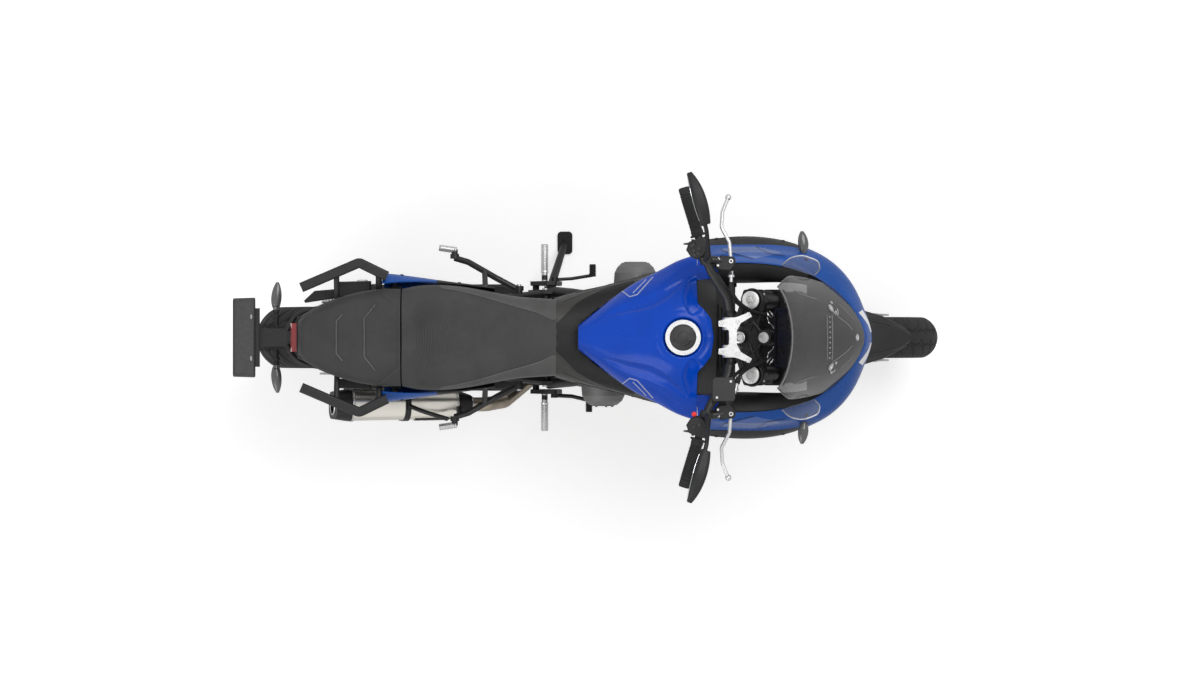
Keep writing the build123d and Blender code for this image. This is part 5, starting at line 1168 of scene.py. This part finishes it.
def fairing_trim():
    """Pale strips on the nose, pale-blue patches of painted highlight on the painted bands with their dark
    lines, and screws.
    """
    nose, band = caster("nose_fairing"), caster("side_fairings")
    screws = []
    for side, name in SIDES:
        strip = patch(nose, *[sided(edge, side) for edge in NOSE_STRIP], smooth=True)
        piece(f"nose_strip_{name}", [strip], "white")
        # painted highlight: a paler blue patch laid on each band
        sheen = patch(band, *[sided(edge, side) for edge in BAND_HIGHLIGHT])
        piece(f"band_highlight_{name}", [sheen], "painted_highlight_blue")
        dark = [stripe(band, sided(line, side), 1.8, smooth=False) for line in BAND_LINES]
        piece(f"band_lines_{name}", dark, "plastic")
        for node, spots in SCREW_SPOTS:
            drop = caster(node, name)
            screws += [bolt(*drop(x, z), 5.0, 2.2) for x, z in spots]
    piece("fairing_screws", screws, "satin_metal")


screen_trim()
deflector_trim()
fairing_trim()


# ---------------------------------------------------------------- lamps, mirrors and panel detail
DAYLIGHT = [(28, 778), (62, 800), (134, 813)]
GLASS_TOP = [(314, 1246), (350, 1263), (396, 1265), (434, 1248)]
GLASS_FOOT = [(314, 1224), (350, 1204), (396, 1203), (434, 1221)]
PANELS = ("side_fairings", "fairing_trims", "tank_covers")
LOUVRES = (
    [(432, 636), (520, 660)], [(424, 660), (548, 694)], [(416, 684), (572, 727)], [(408, 708), (590, 757)],
)
FAIRING_RIB = [(372, 724), (412, 664), (446, 610), (484, 608), (556, 648), (630, 694)]
WING_RIBS = (
    ([(250, 812), (400, 792), (560, 786)], 3.0, 1.0),
    ([(262, 786), (400, 778), (548, 781)], 2.2, 0.8),
)
KNEE_TOP = [(-70, 762), (0, 756), (90, 762), (172, 786)]
KNEE_FOOT = [(-58, 730), (0, 716), (90, 720), (166, 744)]
SADDLE_RIB = [(-104, 812), (-40, 792), (60, 790), (180, 806)]
BAND_RIM = [(318, 209.5, 901), (420, 210.5, 901), (520, 199.6, 901), (588, 178, 901)]


def lamp_trim():
    """Projector rings and daylight strips in the headlamps, glass in the mirrors, and the bare nose disc."""
    drop = caster("headlamps", "front")
    bezels, strips = [], []
    for side, _ in SIDES:
        way = (1, side * 0.25, 0)
        for y, z, radius in ((56, 774, 14), (98, 786, 13)):
            spot, _ = drop(side * y, z)
            bezels.append(ring_of(spot + (1.0, 0, 0), way, radius, 2.0, 36))
            bezels.append(turned(spot, way, [(-2, radius - 3), (1.5, radius - 4), (3, 5), (3.2, 0)], 30))
        strips.append(stripe(drop, [(side * y, z) for y, z in DAYLIGHT], 4.5, 1.0, smooth=False))
    piece("projector_rings", bezels, "chrome")
    piece("daylight_strips", strips, "white")
    drop = caster("mirrors", "rear")
    panes = []
    for side, _ in SIDES:
        top, foot = ([(side * y, z) for y, z in edge] for edge in (GLASS_TOP, GLASS_FOOT))
        panes.append(patch(drop, top, foot, lift=0.8, smooth=True))
    piece("mirror_glass", panes, "mirror", "fork")
    spot = caster("windscreen")(716, 0)
    disc = turned(*spot, [(-1, 9.5), (1.6, 9.5), (2.4, 8.4), (2.4, 6.6), (1.4, 6.2), (1.4, 0)], 40)
    piece("nose_disc", [disc], "aluminium")


def panel_detail():
    """Louvres, pressed lines and rims of the side panels, fairing wings and knee panels."""
    raised, pressed, heads = [], [], []
    for _, way in SIDES:
        fairing, wing, saddle = (caster(node, way) for node in PANELS)
        raised += [stripe(fairing, line, 7, 2.6, 30, taper=True) for line in LOUVRES]
        pressed.append(stripe(fairing, FAIRING_RIB, 3.0, 1.0))
        pressed += [stripe(wing, line, width, lift) for line, width, lift in WING_RIBS]
        raised.append(patch(saddle, KNEE_TOP, KNEE_FOOT, lift=1.6))
        for x in (20, 50, 80, 110):
            pressed.append(stripe(saddle, [(x, 728), (x + 16, 756)], 5, 2.6, 20, smooth=False))
        pressed.append(stripe(saddle, SADDLE_RIB, 2.0, 0.8))
        heads += [bolt(*saddle(x, z), 5.5, 2.4) for x, z in ((-96, 742), (176, 762))]
    piece("side_louvres", raised, "plastic")
    piece("panel_ribs", pressed, "dark_grey")
    piece("knee_panel_screws", heads, "satin_metal")
    rims = [tube(sided(BAND_RIM, side), 3.4, 10, 60) for side, _ in SIDES]
    piece("band_rims", rims, "plastic")


lamp_trim()
panel_detail()


# ---------------------------------------------------------------- engine and running gear
CASE_HALF = 128.0
CLUTCH, ALTERNATOR = (10, 412), (105, 392)  # middles of the two large covers, as (x, z)
GEARBOX, CHAIN_Y, CHAIN_PITCH = np.array((-85.0, 410.0)), 112.0, 15.875
TEETH_FRONT, TEETH_REAR = 16, 46
COVER_BOSS = [(0, 8), (13, 8), (14, 7), (14, 5.2), (19, 5.2), (20, 4.2), (20, 0)]
RIB_COUNT, RIB_RUN = 5, np.array((158, 0, -54))
HEAD_BOLTS = ((158, 652), (210, 664), (262, 640), (296, 600))
HOSES = (
    [(356, -158, 750), (334, -160, 744), (304, -152, 706), (288, -132, 664), (270, -110, 640)],
    [(372, 158, 508), (348, 164, 486), (284, 160, 412), (222, 148, 352), (192, 142, 326)],
)
HOSE_CLIPS = (
    ((340, -159.5, 746), (1, 0.1, 0.2)), ((280, -122, 652), (0.7, -0.9, 0.9)),
    ((362, 161, 499), (1, -0.2, 0.9)), ((204, 144.5, 337), (1, 0.3, 0.9)),
)
PORT_WAY = (0.9, 0, -0.36)


def facing_out(x, y, z, side, profile, sides):
    """A turned piece on one flank, facing out; y is its distance from the machine's middle."""
    return turned((x, side * y, z), (0, side, 0), profile, sides)


def circle(centre, radius, count, start=0.0):
    """Evenly spaced spots (x, z) round a centre."""
    turns = start + np.arange(count) * 2 * pi / count
    return [(centre[0] + radius * cos(turn), centre[1] + radius * sin(turn)) for turn in turns]


def engine_trim():
    """Cover bolts, sight glass, cylinder ribs, cam-cover bolts and the coolant hoses."""
    covers = [
        facing_out(x, CASE_HALF - 3, z, side, COVER_BOSS, 18)
        for centre, side, ring, count in ((ALTERNATOR, 1, 74, 8), (CLUTCH, -1, 74, 9), ((190, 316), 1, 32, 4))
        for x, z in circle(centre, ring, count)
    ]
    left_cap = [(-2, 34), (1.5, 34), (2.5, 32), (2.5, 12), (1, 11), (1, 0)]
    right_cap = [(-2, 33), (2, 33), (3, 31), (3, 20), (1.5, 19), (1.5, 0)]
    covers.append(facing_out(ALTERNATOR[0], 222, ALTERNATOR[1], 1, left_cap, 48))
    covers.append(facing_out(CLUTCH[0], 200, CLUTCH[1], -1, right_cap, 48))
    covers += [bolt((x, -203, z), (0, -1, 0), 3.6) for x, z in circle(CLUTCH, 26, 5)]
    piece("cover_fittings", covers, "cover_grey")
    ribs = []
    for side, _ in SIDES:
        for k in range(RIB_COUNT):
            low = np.array((72 + 12 * k, side * (CASE_HALF + 1.5), 506 + 24.0 * k))
            ribs.append(tube([low, low + RIB_RUN], 3.2, 8))
        ribs += [bolt((x, side * 134, z), (0, side, 0), 6.5, 5) for x, z in HEAD_BOLTS]
    piece("cylinder_ribs", ribs, "engine")
    sight = [(-2, 15), (4, 15), (5, 13), (5, 11), (3, 10.5), (3, 0)]
    oil_cap = [(-2, 15), (9, 15), (11, 12), (11, 5), (9, 4.5), (9, 0)]
    glass = [facing_out(60, CASE_HALF, 318, -1, sight, 30), facing_out(158, CASE_HALF, 452, -1, oil_cap, 12)]
    piece("oil_sight", glass, "aluminium")
    piece("coolant_hoses", [tube(line, 12, 16, 40) for line in HOSES], "rubber")
    clips = [ring_of(spot, way, 12.6, 1.6, 30) for spot, way in HOSE_CLIPS]
    for y in (-84, 0, 84):
        clips.append(turned((270, y, 547), PORT_WAY, [(-2, 27), (3, 27), (4, 25.5), (4, 18)], 6))
        clips += [turned((276, y + off, 544), PORT_WAY, [(-3, 5), (8, 5), (8, 0)], 6) for off in (-20, 20)]
    piece("pipe_clips", clips, "aluminium")


def chain_path():
    """Centres of the chain's pins round both sprockets, as (x, z)."""
    front_r, rear_r = (CHAIN_PITCH / (2 * sin(pi / teeth)) for teeth in (TEETH_FRONT, TEETH_REAR))
    rear = REAR_AXLE[[0, 2]]
    span = rear - GEARBOX
    lean = asin((rear_r - front_r) / np.linalg.norm(span))
    base = atan2(span[1], span[0])
    line = []
    for centre, radius, start, stop in (
        (rear, rear_r, base - pi / 2 - lean, base + pi / 2 + lean),
        (GEARBOX, front_r, base + pi / 2 + lean, base + 1.5 * pi - lean),
    ):
        line += [centre + radius * np.array((cos(t), sin(t))) for t in np.linspace(start, stop, 90)]
    line.append(line[0])
    length = np.linalg.norm(np.diff(line, axis=0), axis=1).sum()
    count = int(round(length / CHAIN_PITCH / 2)) * 2
    return resample(line, count + 1, smooth=False)


def link_plate(a, b, y):
    """Waisted plate between two pins."""
    wide, thick = 6.6, 1.6
    way = (b - a) / np.linalg.norm(b - a)
    up = np.array((-way[1], way[0]))
    outline = []
    for centre, facing in ((a, -1), (b, 1)):
        turns = np.radians(np.linspace(-75, 75, 7))
        outline += [centre + (way * cos(turn) + up * sin(turn)) * facing * wide for turn in turns]
        outline.append((a + b) / 2 + up * facing * wide * 0.7)
    return slab([(x, y, z) for x, z in outline], thick, (0, 1, 0))


def chain():
    """Roller chain with separate plates, rollers and pins, and the gearbox sprocket."""
    pins = chain_path()
    roller = [(0, 2.4), (3.8, 2.4), (3.8, 5), (14.2, 5), (14.2, 2.4), (18, 2.4)]
    plates, rollers = [], []
    for index, (a, b) in enumerate(zip(pins, pins[1:])):
        inner = index % 2 == 0
        plates += [link_plate(a, b, CHAIN_Y + low) for low in ((-7.0, 5.4) if inner else (-8.9, 7.3))]
        rollers.append(facing_out(a[0], CHAIN_Y - 9, a[1], 1, roller, 10))
    plate_set = piece("chain_plates", plates, "chain", angle=30)
    piece("chain_rollers", rollers, "aluminium")
    hub = [(0, 35), (10, 35), (10, 22), (14, 22), (15, 20), (15, 0)]
    wheel = [facing_out(GEARBOX[0], CHAIN_Y - 5, GEARBOX[1], 1, hub, 48)]
    wheel.append(facing_out(GEARBOX[0], 96, GEARBOX[1], 1, [(0, 14), (14, 14)], 30))
    piece("gearbox_sprocket", wheel, "steel")
    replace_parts(plate_set, "drive_chain")


WHEEL_TRIM = (  # body, axle, and each disc's distance from the middle, side and button circle
    ("front_wheel", FRONT_AXLE, ((70.6, 1, 118), (70.6, -1, 118))),
    ("rear_wheel", REAR_AXLE, ((110.6, -1, 88),)),
)
DISC_BUTTON = [(-1, 7), (1.6, 7), (2.4, 5.6), (2.4, 3.2), (1, 3), (1, 0)]
HUB_RING = (30, 44)
VALVE = [(-4, 5.5), (2, 5.5), (3, 4), (24, 4), (24.5, 4.8), (31, 4.8), (32, 3.6), (32, 0)]
VALVE_R, VALVE_TURN = 191.0, 0.9
AXLE_NUT = [(-3, 22), (2, 22), (2, 17), (13, 17), (15, 14), (15, 9), (10, 8), (10, 0)]
AXLE_PLATE = ((-34, -14), (-34, 14), (30, 18), (44, 0), (30, -18))
AXLE_END = [(-3, 17), (5, 17), (6.5, 15), (6.5, 9), (2, 8), (2, 0)]


def hollow(part):
    """A turned ring without its end caps, its last row joined to its first."""
    points, faces = part
    sides = len(faces[-1])
    return points, grid_faces(len(points) // sides, sides, wrap_rows=True, wrap_cols=True)


def wheel_trim():
    """Disc buttons and carriers, hub bolts, valve stems, axle nuts and axle ends."""
    for body, axle, discs in WHEEL_TRIM:
        parts, carriers = [], []
        for y, side, ring in discs:
            spots = circle(axle[[0, 2]], ring, 10, pi / 10)
            parts += [facing_out(x, y, z, side, DISC_BUTTON, 20) for x, z in spots]
            parts += [bolt((x, side * y, z), (0, side, 0), 5.5, 4) for x, z in circle(axle[[0, 2]], 38, 5)]
            for inner, outer in ((ring - 14, ring - 0.5), HUB_RING):
                profile = [(0, inner), (0.5, inner), (0.5, outer), (0, outer)]
                carriers.append(hollow(facing_out(axle[0], y, axle[2], side, profile, 90)))
        piece(f"{body}_carriers", carriers, "satin_metal", body)
        out = np.array((cos(VALVE_TURN), 0, sin(VALVE_TURN)))
        parts.append(turned(axle + out * VALVE_R + (0, 12, 0), (0, 0.35, 0) - out, VALVE, 14))
        piece(f"{body}_fittings", parts, "aluminium", body)
    x, _, z = REAR_AXLE
    nuts = [facing_out(x, 158, z, side, AXLE_NUT, 6) for side, _ in SIDES]
    for y in (158, -160.5):
        nuts.append(slab([(x + along, y, z + up) for along, up in AXLE_PLATE], 2.5, (0, 1, 0)))
    piece("rear_axle_nuts", nuts, "aluminium")
    x, _, z = FRONT_AXLE
    ends = [facing_out(x, 120, z, side, AXLE_END, 36) for side, _ in SIDES]
    piece("front_axle_ends", ends, "aluminium", "fork")


PISTON = [(-2, 15), (2, 15), (3, 13.5), (3, 9), (1.8, 8), (1.8, 0)]
CALIPER_Z = 122.0
CALIPER_BOLTS = ((-92, 36), (-92, -36), (-55, 34), (-55, -34))  # steering frame, from the fork's line
HOSE_ROUTE = ((-74, 86, 168), (-66, 92, 200), (-44, 98, 260), (-34, 96, 380), (-40, 70, 470), (-50, 36, 530))


def caliper_trim():
    """Bolts, piston bores and pad pins of the front calipers, and their hoses up the fork."""
    metal, hoses = [], []
    for side, _ in SIDES:
        out = (0, side, 0)
        for dx, dz in CALIPER_BOLTS:
            metal.append(bolt(steer(FORK_OFFSET + dx, side * 88, CALIPER_Z + dz), out, 6, 4.5))
        for dz in (-17, 17):
            metal.append(turned(steer(FORK_OFFSET - 78, side * 88, CALIPER_Z + dz), out, PISTON, 32))
        line = [steer(FORK_OFFSET + x, side * y, z) for x, y, z in HOSE_ROUTE]
        hoses.append(tube(line, 4.2, 12, 70))
        metal.append(turned(line[0], STEER_Z, [(-8, 7), (0, 7), (0, 5), (16, 5), (16, 4.4)], 16))
    piece("caliper_fittings", metal, "aluminium", "fork")
    piece("caliper_hoses", hoses, "grip", "fork")


FRAME_BOLTS = (  # node, spots (x, z), radius, and the sides that have them
    ("frame", ((165, 620), (-160, 505), (-118, 700)), 9.0, ("left", "right")),
    ("footpeg_hangers", ((-236, 573), (-330, 661), (-165, 392)), 7.0, ("left", "right")),
    ("swingarm", ((-160, 408), (-640, 330), (-665, 342)), 6.0, ("left", "right")),
    ("engine_covers", ((-110, 458), (-64, 454), (-60, 366), (-118, 364)), 5.5, ("left",)),
)


def frame_trim():
    """Bolt heads where the frame, hangers and covers are held."""
    heads = []
    for node, spots, radius, ways in FRAME_BOLTS:
        for way in ways:
            drop = caster(node, way)
            heads += [bolt(*drop(x, z), radius, 5) for x, z in spots]
    piece("frame_bolts", heads, "aluminium")


PEG_RIDGE = ((0, 11), (2.6, 11), (3.2, 8.8), (4.4, 8.8))
PEDAL_RIDGE = ((2, 10.5), (4.6, 10.5), (5.2, 8.6), (6.6, 8.6))
RIDER_PEG = (-165, 185, 358)
PILLION_PEG, PILLION_PEG_TIP = (-418, 254.5, 548), (-470, 262, 548)


def footrests():
    """Ribbed pegs with their clevises, and the ribbed gear and brake pedals."""
    foot = [(0, 9), (8, 9), (9, 11.5), (11, 11.5)]
    rider = [*foot, *ribbed(16, 5.0, PEG_RIDGE, 12), (92, 11), (93, 9), (93, 0)]
    passenger = [(0, 8), (2, 10), *ribbed(9, 5.0, PEG_RIDGE, 3, 0.9), (50, 10), (52, 8), (52, 0)]
    pegs, clevises = [], []
    for side, _ in SIDES:
        pegs.append(facing_out(*RIDER_PEG, side, rider, 22))
        root, tip = mirror(PILLION_PEG, side), mirror(PILLION_PEG_TIP, side)
        pegs.append(turned(root, tip - root, passenger, 22))
        clevises.append(facing_out(-165, 166, 358, side, [(0, 9), (21, 9), (21, 0)], 20))
        clevises.append(facing_out(-424, 244.3, 548, side, [(0, 9), (13, 9), (13, 0)], 20))
    thing = piece("peg_sleeves", pegs, "silver", angle=30)
    piece("peg_pivots", clevises, "satin_metal")
    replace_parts(thing, "footpegs")
    rubber = [(0, 8), (1, 10.5), *ribbed(6, 5.5, PEDAL_RIDGE), (36, 10.5), (37, 8), (37, 0)]
    pads = [facing_out(-22, 182, 334, 1, rubber, 22), facing_out(-33, 186, 320, -1, rubber, 22)]
    piece("pedal_rubbers", pads, "rubber", angle=30)


CAN_FRONT, CAN_REAR = np.array((-385.0, -198, 428)), np.array((-735.0, -198, 545))
CAN_LENGTH = np.linalg.norm(CAN_REAR - CAN_FRONT)
CAN_WAY = (CAN_REAR - CAN_FRONT) / CAN_LENGTH
CAN_UP = np.array((-CAN_WAY[2], 0, CAN_WAY[0])) * np.sign(CAN_WAY[0])
CAN_SHELL = (  # distance back from the front end, width and height; other loops add a corner radius
    (46.3, 80, 102), (47, 84, 106), (52, 84.4, 106.4), (200, 86, 112), (CAN_LENGTH - 6, 89.6, 121.6),
    (CAN_LENGTH, 90, 122), (CAN_LENGTH, 84, 116),
)
CAN_NOSE = ((0, 50, 54, 20), (1, 56, 60, 20), (24, 72, 84, 28), (46, 84, 106))
CAN_CAP = (
    (CAN_LENGTH + 0.3, 92, 124), (CAN_LENGTH + 8, 92, 124), (CAN_LENGTH + 40, 82, 108, 31),
    (CAN_LENGTH + 46, 80, 104, 30), (CAN_LENGTH + 46, 58, 60, 29), (CAN_LENGTH + 14, 54, 54, 26.9),
)
STRAP_AT = 202.0


def can_loop(along, wide, tall, corner=36.0, grow=0.0):
    """A closed line round the silencer: a rounded rectangle at a distance back from its front end."""
    line = []
    for turn in np.linspace(0, 2 * pi, 61):
        c, s = cos(turn), sin(turn)
        y = np.sign(c) * (wide / 2 + grow - corner) + corner * c
        z = np.sign(s) * (tall / 2 + grow - corner) + corner * s
        line.append(CAN_FRONT + CAN_WAY * along + np.array((0, y, 0)) + CAN_UP * z)
    return line


def can_shell(stations):
    """A closed shell through several loops of the silencer."""
    rows = [can_loop(*station)[:-1] for station in stations]
    return np.concatenate(rows), rings(len(rows), len(rows[0]))


def can_spot(along, up):
    """A spot of the silencer's flank, as (x, z)."""
    return tuple((CAN_FRONT + CAN_WAY * along + CAN_UP * up)[[0, 2]])


def silencer_trim():
    """The can with its end caps, bands, strap, and heat shield with its slots."""
    can = piece("silencer_can", [can_shell(CAN_SHELL)], "steel")
    piece("silencer_ends", [can_shell(CAN_NOSE), can_shell(CAN_CAP)], "plastic")
    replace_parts(can, "silencer")
    ends = ((52, 84, 106), (CAN_LENGTH - 5, 90, 122))
    bands = [tube(can_loop(*end, grow=0.6), 2.2, 10) for end in ends]
    bands.append(ring_of(CAN_REAR + CAN_WAY * 47, CAN_WAY, 26.5, 2.2, 40))
    bands.append(ring_of(CAN_FRONT - CAN_WAY * 4, CAN_WAY, 22.5, 3.0, 40))
    piece("silencer_bands", bands, "aluminium")
    straps = [tube(can_loop(STRAP_AT + off, 85, 108, grow=1.4), 3.4, 8) for off in (-6, 0, 6)]
    hanger = [CAN_FRONT + CAN_WAY * STRAP_AT + CAN_UP * 50, (-524, -212, 566), (-444, -238, 552)]
    straps.append(tube(hanger, 6.5, 12, 30))
    piece("silencer_strap", straps, "satin_metal")
    drop = caster("silencer", "right")
    top = [can_spot(along, 34) for along in (70, 130, 176)]
    foot = [can_spot(along, -20) for along in (84, 130, 168)]
    piece("heat_shield", [patch(drop, top, foot, lift=3.0)], "plastic")
    slots = [
        stripe(drop, [can_spot(along, -10), can_spot(along + 8, 26)], 5, 3.6, 20, smooth=False)
        for along in (92, 112, 132, 152)
    ]
    piece("shield_slots", slots, "steel")


engine_trim()
chain()
wheel_trim()
caliper_trim()
frame_trim()
footrests()
silencer_trim()


# ---------------------------------------------------------------- tail
TAIL_PLATES = (
    [(-838, 104), (-808, 132), (-750, 137), (-743, 158), (-648, 160), (-648, 128), (-744, 112), (-834, 98)],
    [(-752, -116), (-752, -132), (-738, -144), (-648, -146), (-648, -118)],
)
TAIL_ARM = [(-866, 48), (-872, 30), (-926, 12), (-930, 26), (-900, 44)]
TAIL_STAY = [(-752, 92, 838), (-862, 56, 846), (-884, 22, 834)]
INDICATOR_X, INDICATOR_Z = -927.0, 722.0
STEM = [(0, 11), (8, 11), (10, 8), (14, 8), (16, 10.5), (20, 10.5), (20, 6)]
PLATE_TOP, PLATE_FOOT = np.array((-988.0, 0, 706)), np.array((-1070.0, 0, 548))
RIM_HALF_Y, RIM_HALF_Z = 108.0, 83.0


def tail_trim():
    """Plates, arms and stays below the tail, indicator stems and rings, and the plate's bolts and rim."""
    plates = [flat(outline, 806, 22, 4) for outline in TAIL_PLATES]
    arm = [(x, y, 800 + 0.9 * (x + 866)) for x, y in TAIL_ARM]
    for side, _ in SIDES:
        plates.append(slab(sided(arm, side), 10, edge=2))
        plates.append(tube(sided(TAIL_STAY, side), 7, 12, 30))
        plates.append(facing_out(INDICATOR_X, 58, INDICATOR_Z, side, STEM, 24))
    plates.append(flat([(-986, -84), (-974, -84), (-974, 84), (-986, 84)], 716, 10, 2))
    piece("tail_plates", plates, "plastic")
    down = (PLATE_FOOT - PLATE_TOP) / np.linalg.norm(PLATE_FOOT - PLATE_TOP)
    out = np.array((down[2], 0, -down[0]))
    centre = (PLATE_TOP + PLATE_FOOT) / 2
    heads = [bolt(centre + (0, side * 60, 0) - down * 66 + out * 2, out, 7, 3) for side, _ in SIDES]
    piece("plate_bolts", heads, "aluminium")
    corners = [(RIM_HALF_Y * a, RIM_HALF_Z * b) for a, b in ((-1, -1), (1, -1), (1, 1), (-1, 1), (-1, -1))]
    rim = tube([centre + (0, y, 0) + down * along + out * 2.2 for y, along in corners], 1.6, 8)
    piece("plate_rim", [rim], "dark_grey")
    lens = [(0, 10.2), (1.4, 10.4), (2.8, 10.2)]
    lenses = [facing_out(INDICATOR_X, 88, INDICATOR_Z, side, lens, 28) for side, _ in SIDES]
    piece("indicator_rings", lenses, "satin_metal")


tail_trim()


# ---------------------------------------------------------------- last update of the view layer
bpy.context.view_layer.update()
